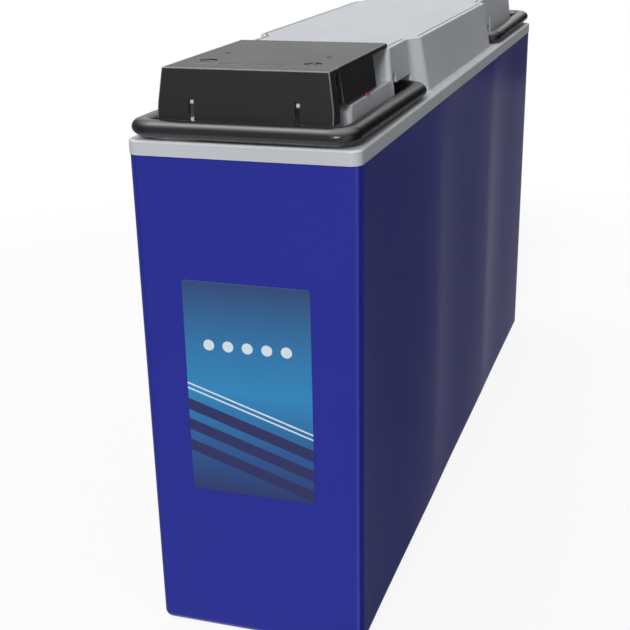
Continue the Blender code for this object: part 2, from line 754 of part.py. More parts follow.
def make_flap(cover, mat):
    # Front panel with short returns, on a film hinge along the front of the cover's plate
    axis = Vector((0, -hinge_y, cover_top))
    bend = cover_top - FLAP_SLOPE_TALL
    rear = -hinge_y - FIT / 2

    def outline(z, wall, past):
        drop = (cover_top - z) / (cover_top - flap_foot)
        flare = min((cover_top - z) / FLAP_SLOPE_TALL, 1)
        half = cover_half + FLAP_FLARE * flare - wall
        front = flap_top_y + (flap_foot_y - flap_top_y) * drop
        return rectangle(-half, half, wall - front, rear + past)

    shell = loft([(outline(z, 0, 0), z) for z in (flap_foot, bend, cover_top)])
    flap = add_object("terminal_cover_flap", shell, mat)
    levels = (flap_foot - FIT, bend, cover_under)
    cut(flap, [loft([(outline(z, FLAP_WALL, FIT), z) for z in levels])])
    reach = cover_half + FLAP_FLARE + FIT
    cut(flap, [box(-reach, reach, -hinge_y - FLAP_CLEAR, rear + FIT, flap_foot - FIT, cover_under)])
    half = SLOT_WIDTH / 2
    front = -flap_foot_y - FIT
    cut(flap, [box(x - half, x + half, front, front + LATCH_DEPTH, flap_foot - FIT, flap_foot + SLOT_TALL)
               for x in (-LATCH_X, LATCH_X)])
    flap.data.transform(Matrix.Translation(-axis))
    flap.location = axis
    flap.parent = cover
    return flap


def handle_path():
    # Half of a handle's centre line from the pivot pin to the middle of its bar, relative to the pivot,
    # with the half width of the grip at each point
    grip = HANDLE_WIDE / 2
    leg = HANDLE_TALL / 2
    path = [(pin_end, 0, PIN_RADIUS), (pocket_floor + FIT, 0, PIN_RADIUS), (pocket_floor + FIT, 0, leg)]
    for k in range(CORNER_STEPS + 1):
        turn = math.pi / 2 * (1 - k / CORNER_STEPS)
        wide = leg + (grip - leg) * k / CORNER_STEPS
        path.append((arm_x - HANDLE_ELBOW * (1 - math.cos(turn)),
                     -HANDLE_ELBOW * (1 - math.sin(turn)), wide))
    for k in range(CORNER_STEPS + 1):
        turn = math.pi / 2 * k / CORNER_STEPS
        path.append((arm_x - HANDLE_CORNER * (1 - math.cos(turn)),
                     HANDLE_CORNER * (1 - math.sin(turn)) - bar_reach, grip))
    return path


def make_handle(name, end, mat):
    half = handle_path()
    path = half + [(-x, y, wide) for x, y, wide in reversed(half)]
    rings = []
    for i, (x, y, wide) in enumerate(path):
        x0, y0, _ = path[max(i - 1, 0)]
        x1, y1, _ = path[min(i + 1, len(path) - 1)]
        along = Vector((x1 - x0, y1 - y0)).normalized()
        across = Vector((-along.y, along.x))
        tall = min(wide, HANDLE_TALL / 2)
        ring = []
        for k in range(GRIP_SIDES):
            turn = 2 * math.pi * k / GRIP_SIDES
            ring.append((x + across.x * wide * math.cos(turn), y + across.y * wide * math.cos(turn),
                         tall * math.sin(turn)))
        rings.append(ring)
    handle = add_object(name, skin(rings), mat, smooth=True)
    handle.location = (0, end * pivot_y, handle_z)
    if end > 0:
        handle.rotation_euler = (0, 0, math.pi)
    return handle


def make_label(mat):
    # Thin sticker that lies along the drafted front face
    half = LABEL_WIDTH / 2
    low, high = LABEL_FOOT, LABEL_FOOT + LABEL_HEIGHT
    face = rounded([(-half, low), (half, low), (half, high), (-half, high)], LABEL_CORNER, 3)
    rings = []
    for lift in (GLUE + LABEL_THICK, GLUE):
        rings.append([(x, case_outline(z)[0][1] - lift, z) for x, z in face])
    return add_object("front_label", skin(rings), mat)


def main():
    clear_scene()
    blue_case = make_material("blue_case_plastic", (0.027, 0.033, 0.29), 0.25)
    grey_lid = make_material("grey_lid_plastic", (0.56, 0.57, 0.6), 0.4)
    black_plastic = make_material("black_cover_plastic", (0.028, 0.029, 0.032), 0.45)
    black_grip = make_material("black_handle_plastic", (0.02, 0.02, 0.021), 0.4)
    red_plastic = make_material("red_ring_plastic", (0.5, 0.03, 0.02), 0.4)
    lead = make_material("cast_lead", (0.25, 0.26, 0.28), 0.5, 1.0)
    dark_plate = make_material("positive_plate_paste", (0.08, 0.045, 0.03), 0.85)
    grey_plate = make_material("negative_plate_paste", (0.2, 0.21, 0.22), 0.8)
    glass_mat = make_material("glass_mat", (0.85, 0.86, 0.84), 0.9)
    steel = make_material("zinc_plated_steel", (0.62, 0.63, 0.64), 0.3, 1.0)
    rubber = make_material("valve_rubber", (0.025, 0.025, 0.025), 0.7)
    ceramic = make_material("porous_ceramic", (0.75, 0.73, 0.68), 0.9)
    paper = make_material("printed_label", (0.02, 0.14, 0.38), 0.35)

    make_container(blue_case)
    for cell in range(len(CELLS)):
        make_plate_group(f"cell_{cell + 1}_positive_plates", cell, True, dark_plate)
        make_plate_group(f"cell_{cell + 1}_negative_plates", cell, False, grey_plate)
        make_separator(f"cell_{cell + 1}_separator", cell, glass_mat)
    make_welds(lead)
    make_lid(grey_lid)
    make_vent_cover(grey_lid)
    make_vents(rubber, ceramic)
    make_terminal("positive", 1, lead, red_plastic, steel)
    make_terminal("negative", -1, lead, black_plastic, steel)
    cover = make_terminal_cover(black_plastic)
    make_flap(cover, black_plastic)
    make_handle("front_handle", -1, black_grip)
    make_handle("rear_handle", 1, black_grip)
    make_label(paper)


main()
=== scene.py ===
# Looks of a front-terminal deep cycle battery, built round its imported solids.
# Shapes are worked out in millimetres and scaled to metres when a piece is finished.
# X is the width, Y the length with the terminals at -Y, Z is up.

import json
import math

import bmesh
import bpy
from mathutils import Matrix, Vector

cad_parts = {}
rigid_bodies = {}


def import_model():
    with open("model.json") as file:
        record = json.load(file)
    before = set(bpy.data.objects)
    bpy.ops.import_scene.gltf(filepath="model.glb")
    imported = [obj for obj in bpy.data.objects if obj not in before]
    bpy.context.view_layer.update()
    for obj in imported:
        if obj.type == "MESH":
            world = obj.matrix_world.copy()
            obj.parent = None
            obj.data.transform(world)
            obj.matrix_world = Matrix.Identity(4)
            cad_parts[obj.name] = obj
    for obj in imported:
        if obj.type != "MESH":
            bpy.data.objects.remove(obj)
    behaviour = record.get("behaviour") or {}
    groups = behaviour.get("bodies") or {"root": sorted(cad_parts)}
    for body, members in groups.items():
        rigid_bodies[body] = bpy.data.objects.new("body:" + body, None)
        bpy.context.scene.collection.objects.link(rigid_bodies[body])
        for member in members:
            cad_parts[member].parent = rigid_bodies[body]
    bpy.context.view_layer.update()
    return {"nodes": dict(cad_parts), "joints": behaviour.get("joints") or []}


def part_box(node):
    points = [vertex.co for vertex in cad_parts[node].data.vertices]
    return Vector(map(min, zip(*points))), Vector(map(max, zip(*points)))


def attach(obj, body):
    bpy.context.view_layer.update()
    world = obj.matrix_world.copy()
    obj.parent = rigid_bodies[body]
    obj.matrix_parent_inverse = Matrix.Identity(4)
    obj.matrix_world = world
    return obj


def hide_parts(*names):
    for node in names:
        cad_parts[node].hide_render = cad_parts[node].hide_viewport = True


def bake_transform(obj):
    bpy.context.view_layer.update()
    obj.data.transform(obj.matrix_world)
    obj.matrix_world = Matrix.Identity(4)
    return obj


for leftOver in list(bpy.data.objects):
    bpy.data.objects.remove(leftOver, do_unlink=True)
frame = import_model()
mm = 0.001
overcut = 1            # a cut runs this far past the face that it opens
mergeReach = 1e-3      # points closer than this become one
smallestRadius = 0.05  # of a corner that an inset has used up
highlightRadius = 0.95      # an edge this round, or sharper, gets the full painted highlight
grooveDepth = 0.45     # a groove shallower than this keeps its rim free of the painted edge highlight
grooveFoot = -1        # hollow angle, in radians, that marks the foot of a groove
print("frame loaded,", len(frame["nodes"]), "nodes")


class Look(dict):
    # the settings of a piece; look.edge reads look["edge"]
    __getattr__ = dict.__getitem__


def nodeBox(node):
    return [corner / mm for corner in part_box(node)]


def jointPlace(name):
    joint = next(j for j in frame["joints"] if j["name"] == name)
    return Vector(joint["pos_m"]) / mm


def between(first, last, share):
    return first + (last - first) * share


# Mesh tools

def ringSolid(rings, closed=False):
    # solid through rings of points, capped or joined round; a ring of one point is a tip
    bm = bmesh.new()
    loops = [[bm.verts.new(point) for point in ring] for ring in rings]
    for lower, upper in zip(loops, loops[1:] + loops[:1] if closed else loops[1:]):
        for i in range(max(len(lower), len(upper))):
            around = ((lower, i), (lower, i + 1), (upper, i + 1), (upper, i))
            bm.faces.new(list(dict.fromkeys(loop[k % len(loop)] for loop, k in around)))
    for loop in [] if closed else (loops[0], loops[-1]):
        if len(loop) > 2:
            bm.faces.new(loop)
    bmesh.ops.recalc_face_normals(bm, faces=bm.faces)
    return bm


def loft(sections, along="z"):
    # solid between flat outlines, each with its place along an axis
    order = (2, 0, 1) if along == "x" else (0, 1, 2)
    return ringSolid([
        [tuple((u, v, place)[i] for i in order) for u, v in outline]
        for outline, place in sections])


def turned(profile, x=0, y=0, sides=48, closed=False):
    # round solid about an upright axis from (radius, height) points
    rings = []
    for radius, z in profile:
        turns = [2 * math.pi * i / sides for i in range(sides if radius else 1)]
        rings.append([(x + radius * math.cos(t), y + radius * math.sin(t), z) for t in turns])
    return ringSolid(rings, closed)


def rod(start, end, radius, sides=32):
    axis = Vector(end) - Vector(start)
    bm = turned([(radius, 0), (radius, axis.length)], sides=sides)
    bm.transform(Matrix.Translation(start) @ axis.to_track_quat("Z", "Y").to_matrix().to_4x4())
    return bm


def rectangle(x0, x1, y0, y1):
    return [(x0, y0), (x1, y0), (x1, y1), (x0, y1)]


def brick(x0, x1, y0, y1, z0, z1):
    outline = rectangle(min(x0, x1), max(x0, x1), min(y0, y1), max(y0, y1))
    return loft([(outline, z0), (outline, z1)])


def inset(corners, distance):
    # each side of an anticlockwise outline moved inwards
    points = []
    count = len(corners)
    for i, corner in enumerate(corners):
        here = Vector(corner)
        back = (here - Vector(corners[i - 1])).normalized()
        ahead = (Vector(corners[(i + 1) % count]) - here).normalized()
        normals = Vector((-back.y, back.x)) + Vector((-ahead.y, ahead.x))
        points.append(tuple(here + normals * 2 * distance / normals.length_squared))
    return points


def rounded(corners, radii, tuck=0.0, steps=6):
    # anticlockwise outline moved inwards by the tuck, with arcs of one radius or a list of them
    sharp = inset(corners, tuck)
    points = []
    for i, corner in enumerate(sharp):
        here = Vector(corner)
        back = (Vector(sharp[i - 1]) - here).normalized()
        ahead = (Vector(sharp[(i + 1) % len(sharp)]) - here).normalized()
        given = radii[i] if isinstance(radii, list) else radii
        if not given:
            points.append(corner)
            continue
        hollow = back.cross(ahead) > 0
        radius = max(given + (tuck if hollow else -tuck), smallestRadius)
        half = back.angle(ahead) / 2
        centre = here + (back + ahead).normalized() * radius / math.sin(half)
        first = here + back * radius / math.tan(half) - centre
        last = here + ahead * radius / math.tan(half) - centre
        sweep = first.angle_signed(last)
        for k in range(steps + 1):
            points.append(tuple(centre + Matrix.Rotation(-sweep * k / steps, 2) @ first))
    return points


def quarter(radius, steps=5):
    # (tuck, drop) pairs of a rounded edge, from the side face to the end face
    turns = [math.pi / 2 * k / steps for k in range(steps + 1)]
    return [(radius * (1 - math.cos(t)), radius * (1 - math.sin(t))) for t in turns]


def slab(corners, radii, low, high, lowEdge=0.0, highEdge=0.0, along="z"):
    # solid of one outline with rounded edges at its two ends
    places = [(tuck, low + drop) for tuck, drop in reversed(quarter(lowEdge))]
    places += [(tuck, high - drop) for tuck, drop in quarter(highEdge)]
    kept = [p for i, p in enumerate(places) if i == 0 or p[1] - places[i - 1][1] > 1e-6]
    return loft([(rounded(corners, radii, tuck), place) for tuck, place in kept], along)


def link(name, data):
    made = bpy.data.objects.new(name, data)
    bpy.context.scene.collection.objects.link(made)
    return made


def newPiece(name, bm):
    mesh = bpy.data.meshes.new(name)
    bm.to_mesh(mesh)
    bm.free()
    return link(name, mesh)


def bake(piece):
    # the evaluated shape becomes the piece's own plain mesh
    bpy.context.view_layer.update()
    evaluated = piece.evaluated_get(bpy.context.evaluated_depsgraph_get())
    mesh = bpy.data.meshes.new_from_object(evaluated)
    piece.modifiers.clear()
    old = piece.data
    piece.data = mesh
    mesh.name = piece.name
    bpy.data.meshes.remove(old)


def combine(piece, operation, shapes):
    # solids that stay clear of each other, taken as one
    both = bmesh.new()
    for shape in shapes:
        mesh = bpy.data.meshes.new("shape")
        shape.to_mesh(mesh)
        shape.free()
        both.from_mesh(mesh)
        bpy.data.meshes.remove(mesh)
    tool = newPiece("tool", both)
    modifier = piece.modifiers.new("combine", "BOOLEAN")
    modifier.operation = operation
    modifier.solver = "EXACT"
    modifier.object = tool
    bake(piece)
    bpy.data.objects.remove(tool, do_unlink=True)


def cut(piece, *shapes):
    combine(piece, "DIFFERENCE", shapes)


def join(piece, *shapes):
    combine(piece, "UNION", shapes)


def besideGroove(vert):
    # a shallow groove's rim gets no painted edge highlight, or the highlight would spread across
    # the wide face beside it
    short = [edge for edge in vert.link_edges if edge.calc_length() < grooveDepth * mm]
    beyond = [edge for near in short for edge in near.other_vert(vert).link_edges]
    return any(edge.calc_face_angle_signed(0) < grooveFoot for edge in beyond)


def markEdgeHighlight(piece):
    # how tightly the surface bends outwards at each point, 1 at the given radius; it sets the
    # share of painted highlight and lower roughness on edges
    bm = bmesh.new()
    bm.from_mesh(piece.data)
    wear = []
    for vert in bm.verts:
        if besideGroove(vert):
            wear.append(0)
            continue
        area = sum(face.calc_area() / len(face.verts) for face in vert.link_faces)
        bend = sum(e.calc_length() * max(0, e.calc_face_angle_signed(0)) for e in vert.link_edges)
        wear.append(min(1, bend / max(2 * area, 1e-9) * highlightRadius * mm))
    bm.free()
    piece.data.attributes.new("wear", "FLOAT", "POINT").data.foreach_set("value", wear)


def finishPiece(piece, material, body, nodes, sharp=34):
    # metres, clean faces, even shading, then the piece takes the place of its CAD nodes
    bm = bmesh.new()
    bm.from_mesh(piece.data)
    bmesh.ops.remove_doubles(bm, verts=bm.verts, dist=mergeReach)
    bmesh.ops.dissolve_degenerate(bm, edges=bm.edges, dist=mergeReach)
    bm.transform(Matrix.Scale(mm, 4))
    bm.to_mesh(piece.data)
    bm.free()
    piece.data.shade_smooth()
    piece.data.set_sharp_from_angle(angle=math.radians(sharp))
    modifier = piece.modifiers.new("even shading", "WEIGHTED_NORMAL")
    modifier.keep_sharp = True
    bake(piece)
    # where edges get their painted highlight and lower roughness
    markEdgeHighlight(piece)
    piece.data.materials.clear()
    piece.data.materials.append(material)
    if body:
        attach(piece, body)
    if nodes:
        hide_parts(*nodes)
    print("made", piece.name, len(piece.data.polygons), "faces")


# Materials

driftSpan = (0.35, 0.65)   # part of the noise over which a colour drifts
hazeSpan = (0.3, 0.7)      # and the gloss
driftDetail = 3.0          # how finely the noise of the colour is broken up
hazeDetail = 4.0           # and that of the gloss
highlightStart = 0.3            # an edge bent less than this gets no painted highlight


def hexToLinear(code):
    channels = [int(code[i:i + 2], 16) / 255 for i in (1, 3, 5)]
    return (*[c / 12.92 if c <= 0.04045 else ((c + 0.055) / 1.055) ** 2.4 for c in channels], 1.0)


def perSize(millimetres):
    # texture scale whose features are that large on the object
    return 1 / (millimetres * mm)


def feed(tree, node, inputs):
    # an input takes a value, a socket, or a node's first output
    for key, value in inputs.items():
        if isinstance(value, bpy.types.Node):
            value = value.outputs[0]
        if isinstance(value, bpy.types.NodeSocket):
            tree.links.new(value, node.inputs[key])
        else:
            node.inputs[key].default_value = value


def addNode(tree, kind, inputs=None, **settings):
    node = tree.nodes.new(kind)
    for name, value in settings.items():
        setattr(node, name, value)
    feed(tree, node, inputs or {})
    return node


def setStops(ramp, stops, interpolation="LINEAR"):
    # a ramp's own two stops give way to the given ones
    ramp.color_ramp.interpolation = interpolation
    elements = ramp.color_ramp.elements
    elements.remove(elements[1])
    for place, colour in stops:
        elements.new(place).color = colour
    elements.remove(elements[0])


def newFinish(name, sockets):
    material = bpy.data.materials.new(name)
    material.use_nodes = True
    tree = material.node_tree
    shader = tree.nodes["Principled BSDF"]
    feed(tree, shader, sockets)
    return material, tree, shader


def driftingFinish(name, look):
    # colour and gloss drift a little, edges may get a painted highlight with lower roughness, and
    # the skin may have a fine grain
    material, tree, shader = newFinish(name, look.sockets)
    place = addNode(tree, "ShaderNodeTexCoord").outputs["Object"]
    drift = addNode(tree, "ShaderNodeTexNoise", {
        "Vector": place, "Scale": perSize(look.driftSize), "Detail": driftDetail})
    skin = addNode(tree, "ShaderNodeValToRGB", {"Fac": drift})
    setStops(skin, zip(driftSpan, map(hexToLinear, look.colours)))
    haze = addNode(tree, "ShaderNodeTexNoise", {
        "Vector": place, "Scale": perSize(look.hazeSize), "Detail": hazeDetail})
    low, high = look.roughness
    sheen = addNode(tree, "ShaderNodeMapRange", {
        "Value": haze, "From Min": hazeSpan[0], "From Max": hazeSpan[1],
        "To Min": low, "To Max": high})
    # edges are lightened with a painted highlight colour, and their roughness is lowered
    if "worn" in look:
        highlightTone, gloss = look.worn
        edge = addNode(tree, "ShaderNodeAttribute", attribute_name="wear").outputs["Fac"]
        highlightMask = addNode(tree, "ShaderNodeMapRange", {"Value": edge, "From Min": highlightStart})
        skin = addNode(tree, "ShaderNodeMix", {
            0: highlightMask, 6: skin, 7: hexToLinear(highlightTone)}, data_type="RGBA").outputs[2]
        sheen = addNode(tree, "ShaderNodeMix", {0: highlightMask, 2: sheen, 3: gloss})
    feed(tree, shader, {"Base Color": skin, "Roughness": sheen})
    if "grain" in look:
        size, strength, depth = look.grain
        grain = addNode(tree, look.get("texture", "ShaderNodeTexNoise"), {
            "Vector": place, "Scale": perSize(size)})
        relief = addNode(tree, "ShaderNodeBump", {
            "Height": grain, "Strength": strength, "Distance": depth * mm})
        feed(tree, shader, {"Normal": relief})
    return material


# In each finish the edge highlight is the painted highlight colour and the roughness of edges,
# grain the size, strength and depth.

# Polypropylene, injection moulded in a polished tool: deep even colour under a clear gloss
bluePolypropylene = driftingFinish("bluePolypropylene", Look(
    sockets={"IOR": 1.49}, colours=("#18218b", "#1b238f"), driftSize=90,
    roughness=(0.17, 0.2), hazeSize=40))

# Grey ABS, moulded in a finely sanded tool: pale and satin, with a painted highlight and lower
# roughness on the edges
greyAbs = driftingFinish("greyAbs", Look(
    sockets={"IOR": 1.52}, colours=("#b7babf", "#bcbfc4"), driftSize=70,
    roughness=(0.5, 0.56), hazeSize=15, worn=("#d6d8dc", 0.36), grain=(0.9, 0.1, 0.02)))

# Black ABS with an etched grain: dull from above, lighter where light grazes it, with a painted
# highlight and lower roughness on the edges.
# The real grain is about 0.2 mm; it is drawn at 0.7 mm so that it shows
blackGrainedAbs = driftingFinish("blackGrainedAbs", Look(
    sockets={"IOR": 1.49}, colours=("#151618", "#18191b"), driftSize=40,
    roughness=(0.44, 0.47), hazeSize=30, worn=("#5d5f62", 0.14), grain=(0.7, 0.15, 0.03)))

# Black polypropylene grip, moulded smooth: soft bright streaks along the round bar
blackSmoothGrip = driftingFinish("blackSmoothGrip", Look(
    sockets={"IOR": 1.58}, colours=("#121315", "#151617"), driftSize=35,
    roughness=(0.26, 0.3), hazeSize=9, grain=(1.2, 0.08, 0.02)))

# Red polypropylene seal ring, moulded: bright and slightly waxy
redPolypropylene = driftingFinish("redPolypropylene", Look(
    sockets={"IOR": 1.49}, colours=("#b0352a", "#b83a2e"), driftSize=12,
    roughness=(0.32, 0.42), hazeSize=6, grain=(1.5, 0.1, 0.02)))

# EPDM rubber, pressed: matt, nearly black, faintly powdery
valveRubber = driftingFinish("valveRubber", Look(
    sockets={"IOR": 1.5, "Specular IOR Level": 0.3}, colours=("#202020", "#2a2a29"), driftSize=4,
    roughness=(0.6, 0.75), hazeSize=3, grain=(0.5, 0.3, 0.04)))

# Cast lead: dull blue-grey metal with a mottled, slightly pitted skin
castLead = driftingFinish("castLead", Look(
    sockets={"Metallic": 1.0}, colours=("#7c8085", "#989ca1"), driftSize=6,
    roughness=(0.42, 0.6), hazeSize=3, grain=(1.1, 0.35, 0.08)))

# Zinc-plated steel: bright, faintly blue, with a fine cloudy plating
zincSteel = driftingFinish("zincSteel", Look(
    sockets={"Metallic": 1.0}, colours=("#b9bcc0", "#cdd0d3"), driftSize=5,
    roughness=(0.2, 0.34), hazeSize=2, grain=(0.6, 0.12, 0.02)))

# Lead dioxide paste, cured on a grid: dark brown, matt and granular
brownPaste = driftingFinish("brownPaste", Look(
    sockets={"Specular IOR Level": 0.2}, colours=("#4a2f25", "#5a3b2f"), driftSize=8,
    roughness=(0.8, 0.92), hazeSize=4, grain=(0.8, 0.5, 0.12)))

# Sponge lead paste: soft grey with a faint metallic glint
greyPaste = driftingFinish("greyPaste", Look(
    sockets={"Metallic": 0.4}, colours=("#74777b", "#85888c"), driftSize=8,
    roughness=(0.62, 0.75), hazeSize=4, grain=(0.8, 0.45, 0.1)))

# Absorbent glass mat, wet laid: white and fluffy, fibres drawn coarser than real so that they show
glassMat = driftingFinish("glassMat", Look(
    sockets={"Sheen Weight": 0.3, "Specular IOR Level": 0.2}, colours=("#e9e9e5", "#f1f1ee"),
    driftSize=10, roughness=(0.85, 0.95), hazeSize=4, grain=(1.0, 0.5, 0.12)))

# Sintered ceramic of the flame arrestor: off-white and full of pores
porousCeramic = driftingFinish("porousCeramic", Look(
    sockets={"Specular IOR Level": 0.3}, colours=("#d9d5ca", "#e2dfd5"), driftSize=3,
    roughness=(0.8, 0.92), hazeSize=1.5, grain=(0.5, 0.6, 0.12), texture="ShaderNodeTexVoronoi"))
print("materials made")


# Container

caseLook = Look(
    cornerRadius=6, footRadius=4.5, footSteps=7, draftX=1.2, draftY=1.7,
    sink=0.7,          # how far each cell's side wall is drawn in
    sinkLead=0.64,     # below 1 the deepest place is ahead of the cell's middle
    sinkShape=0.3,     # how soon the wall sinks above the base
    wall=3.2, floor=4, partition=2.4, cellCorner=4, weldRadius=6.3,
    levels=26, sideSteps=66, endSteps=14, arcSteps=8)

caseHigh = nodeBox("container")[1]
caseTop = caseHigh.z
rowLength = ((caseHigh.y - caseLook.wall) * 2 - caseLook.partition * 2) / 3
partitionY = (rowLength + caseLook.partition) / 2
cellPlaces = [(side, row) for side in (-1, 1) for row in (-1, 0, 1)]


def caseHalves(z):
    lean = 1 - z / caseTop
    return caseHigh.x - caseLook.draftX * lean, caseHigh.y - caseLook.draftY * lean


def wallSink(y, z):
    # the partitions hold each side wall out, and it is drawn in between them
    row = 0 if abs(y) <= partitionY else (1 if y > 0 else -1)
    front, back = (-caseHigh.y, -partitionY, partitionY, caseHigh.y)[row + 1:row + 3]
    share = min(1, max(0, (y - front) / (back - front))) ** caseLook.sinkLead
    rise = math.sin(math.pi * min(1, max(0, z / caseTop))) ** caseLook.sinkShape
    return caseLook.sink * math.sin(math.pi * share) ** 2 * rise


def caseRing(z, tuck):
    halfX, halfY = (half - tuck for half in caseHalves(z))
    radius, arc = caseLook.cornerRadius - tuck, caseLook.arcSteps
    points = []
    for signX, signY, start in ((1, -1, -90), (1, 1, 0), (-1, 1, 90), (-1, -1, 180)):
        x, y = Vector((signX * (halfX - radius), signY * (halfY - radius)))
        turns = [math.radians(start + 90 * k / arc) for k in range(arc + 1)]
        points += [(x + radius * math.cos(t), y + radius * math.sin(t), z) for t in turns]
        alongSide = signX != signY
        steps = caseLook.sideSteps if alongSide else caseLook.endSteps
        for share in (1 - 2 * k / steps for k in range(1, steps)):
            if alongSide:
                points.append((signX * (halfX - wallSink(y * share, z)), y * share, z))
            else:
                points.append((x * share, signY * halfY, z))
    return points


def cellOutline(side, row, z):
    halfX, halfY = (half - caseLook.wall for half in caseHalves(z))
    wall = caseLook.partition / 2
    y0 = (-halfY, wall - partitionY, partitionY + wall)[row + 1]
    y1 = (-partitionY - wall, partitionY - wall, halfY)[row + 1]
    return rectangle(*((wall, halfX) if side > 0 else (-halfX, -wall)), y0, y1)


def makeContainer():
    look = caseLook
    foot, levels = look.footRadius, look.levels
    rings = [caseRing(drop, tuck) for tuck, drop in reversed(quarter(foot, look.footSteps))]
    rings += [caseRing(foot + (caseTop - foot) * k / levels, 0) for k in range(1, levels + 1)]
    shell = newPiece("containerShell", ringSolid(rings))
    cut(shell, *[loft([
        (rounded(cellOutline(side, row, z), look.cellCorner), z)
        for z in (look.floor, caseTop + overcut)]) for side, row in cellPlaces])
    holes = []
    for weld in range(1, 6):
        low, high = nodeBox(f"intercell_weld_{weld}")
        middle = (low + high) / 2
        along = Vector((0, 1, 0)) if high.z - low.z > high.y - low.y else Vector((1, 0, 0))
        reach = along * look.partition
        holes.append(rod(middle - reach, middle + reach, look.weldRadius))
    cut(shell, *holes)
    finishPiece(shell, bluePolypropylene, "battery", ["container"], sharp=20)


makeContainer()


# Lid

lidLook = Look(
    ledge=288.3,       # top of the flat edge that the handles lie on
    corner=6.4, edge=1.4, footEdge=0.3, skin=3.3, step=0.6,
    root=1.5,          # how far what stands on the ledge reaches into it
    filletLap=0.02,    # and how far its fillet does
    narrowFoot=49.2, narrowTop=45.7, wideFoot=57.6, wideTop=51.6,
    towerFront=161, towerRear=255, rake=3, shoulder=116, wideEnd=106,
    towerCorners=(3, 13, 8),   # at the ends, in the hollow and on the brow of the shoulders
    towerFillet=0.7, towerEdge=0.8,
    blockTop=303.3, blockFront=244, blockFoot=48.8, blockHalf=47.2, blockCorner=3,
    blockChamfer=3.4, blockChamferIn=2.2, blockFillet=1.2, blockEdge=0.5,
    rim=2.3, recessFloor=314.2, rimChamfer=0.3,
    chimneyRadius=5.5, chimneyRise=2.8, chimneyBevel=0.4, ventBore=3, postBore=8.3,
    pocketFloor=37.7, pocketEnd=157.5, pocketBack=117.5, pocketTop=301, pocketOpen=6.7,
    slitLength=6, slitTop=306.6, pinEnd=29.4, pinBore=4.3, boreReach=6, bossWall=3.8,
    latchX=28.4, latchHalf=0.95, latchBack=259, latchPost=262, latchFront=271.2, latchTop=308.3,
    latchBit=2.2, bitBevels=(0.4, 0.5), hookBevels=(0.8, 0.7), nubTops=(299.2, 296), nubBevel=0.6)

lidLow, lidHigh = nodeBox("lid")
towerTop = lidHigh.z
ledge = lidLook.ledge
pivot = jointPlace("rear_handle_swing")
postLow, postHigh = nodeBox("positive_terminal_post")
terminal = (postLow + postHigh) / 2
valveLow, valveHigh = nodeBox("relief_valve_1")
valve = (valveLow + valveHigh) / 2
ventPlaces = [(side * abs(valve.x), row * abs(valve.y)) for side, row in cellPlaces]
terminalPlaces = [(side * terminal.x, terminal.y) for side in (-1, 1)]


def towerOutline(share, tuck=0.0):
    # plan of the tower at a share of its height: narrow at the handles, wide between the shoulders
    look = lidLook
    narrow = between(look.narrowFoot, look.narrowTop, share)
    wide = between(look.wideFoot, look.wideTop, share)
    rake = look.rake * (1 - share)
    shoulder, wideEnd = look.shoulder, look.wideEnd
    right = [
        (narrow, -look.towerFront - rake), (narrow, -shoulder), (wide, -wideEnd),
        (wide, wideEnd), (narrow, shoulder), (narrow, look.towerRear + rake)]
    left = [(-x, y) for x, y in reversed(right)]
    end, hollow, brow = look.towerCorners
    radii = [end, hollow, brow, brow, hollow, end]
    return rounded(right + left, radii + radii[::-1], tuck)


def blockOutline(share, tuck=0.0):
    # plan of the terminal block, whose front is cut back along its upper edge
    look = lidLook
    half = between(look.blockFoot, look.blockHalf, share)
    rise, chamfer, corner = look.blockTop - ledge, look.blockChamfer, look.blockCorner
    over = max(0, (share - 1) * rise + chamfer) / chamfer
    front = over * look.blockChamferIn - look.blockFront
    plan = rectangle(-half, half, front, look.skin - look.towerFront)
    return rounded(plan, [corner, corner, 0, 0], tuck)


def wallOnLedge(outlineAt, top, fillet, edge, breaks=()):
    # upright form with a hollow fillet at the ledge, levels at the breaks and a rounded upper edge
    rise, lap = top - ledge, lidLook.filletLap
    levels = [(-fillet, -lidLook.root)]
    levels += [(tuck - fillet, fillet - drop - lap) for tuck, drop in quarter(fillet)]
    levels += [(0, height) for height in breaks]
    levels += [(tuck, rise - drop) for tuck, drop in quarter(edge)]
    return loft([(outlineAt(max(0, high) / rise, tuck), ledge + high) for tuck, high in levels])


def makeLatch(x, nub):
    # upright hook behind the flap's slot, seen from the side as (y, z) points
    look = lidLook
    back, post, front = (-look[name] for name in ("latchBack", "latchPost", "latchFront"))
    foot, top, half = ledge - look.root, look.latchTop, look.latchHalf
    bit, bevel = top - look.latchBit, look.nubBevel
    under, over = look.bitBevels
    inwards, down = look.hookBevels
    profile = [
        (back, top), (front + inwards, top), (front, top - down), (front, bit + over),
        (front + under, bit), (post, bit - under), (post, nub), (front + bevel, nub),
        (front, nub - bevel), (front, foot), (back, foot)]
    return loft([(profile, x - half), (profile, x + half)], "x")


def lidChambers():
    # spaces over the cells, cut in groups one after another
    look = lidLook
    skin, step, wall = look.skin, look.step, caseLook.partition / 2
    roof, blockRoof, flat = look.recessFloor - skin, look.blockTop - skin, ledge - skin
    start = flat - skin / 2
    towerFront = look.towerFront
    middle = min(rowLength / 2 - step, look.wideEnd - skin)
    rows = {
        -1: (look.blockHalf - skin, skin - look.blockFront, -towerFront, blockRoof),
        0: (look.wideTop - skin, -middle, middle, roof),
        1: (look.narrowTop - skin, towerFront, look.towerRear - skin, roof)}
    inner, outer = wall + 2 * step, look.pinEnd - look.bossWall
    passage = partitionY + wall + step
    mouths, hollows, passages = [], [], []
    for side, row in cellPlaces:
        mouth = cellOutline(side, row, caseTop)
        mouths.append(loft([(mouth, lidLow.z - overcut), (mouth, flat)]))
        halfX, y0, y1, top = rows[row]
        hollows.append(brick(side * (wall + step), side * halfX, y0, y1, start, top))
        if row:
            passages.append(brick(
                side * inner, side * outer, row * passage, row * (towerFront + step),
                start - step, top - step))
    shafts = [brick(
        side * (inner + step), side * (outer - step), skin - towerFront, -passage - step,
        start, roof) for side in (-1, 1)]
    return mouths, hollows, passages, shafts


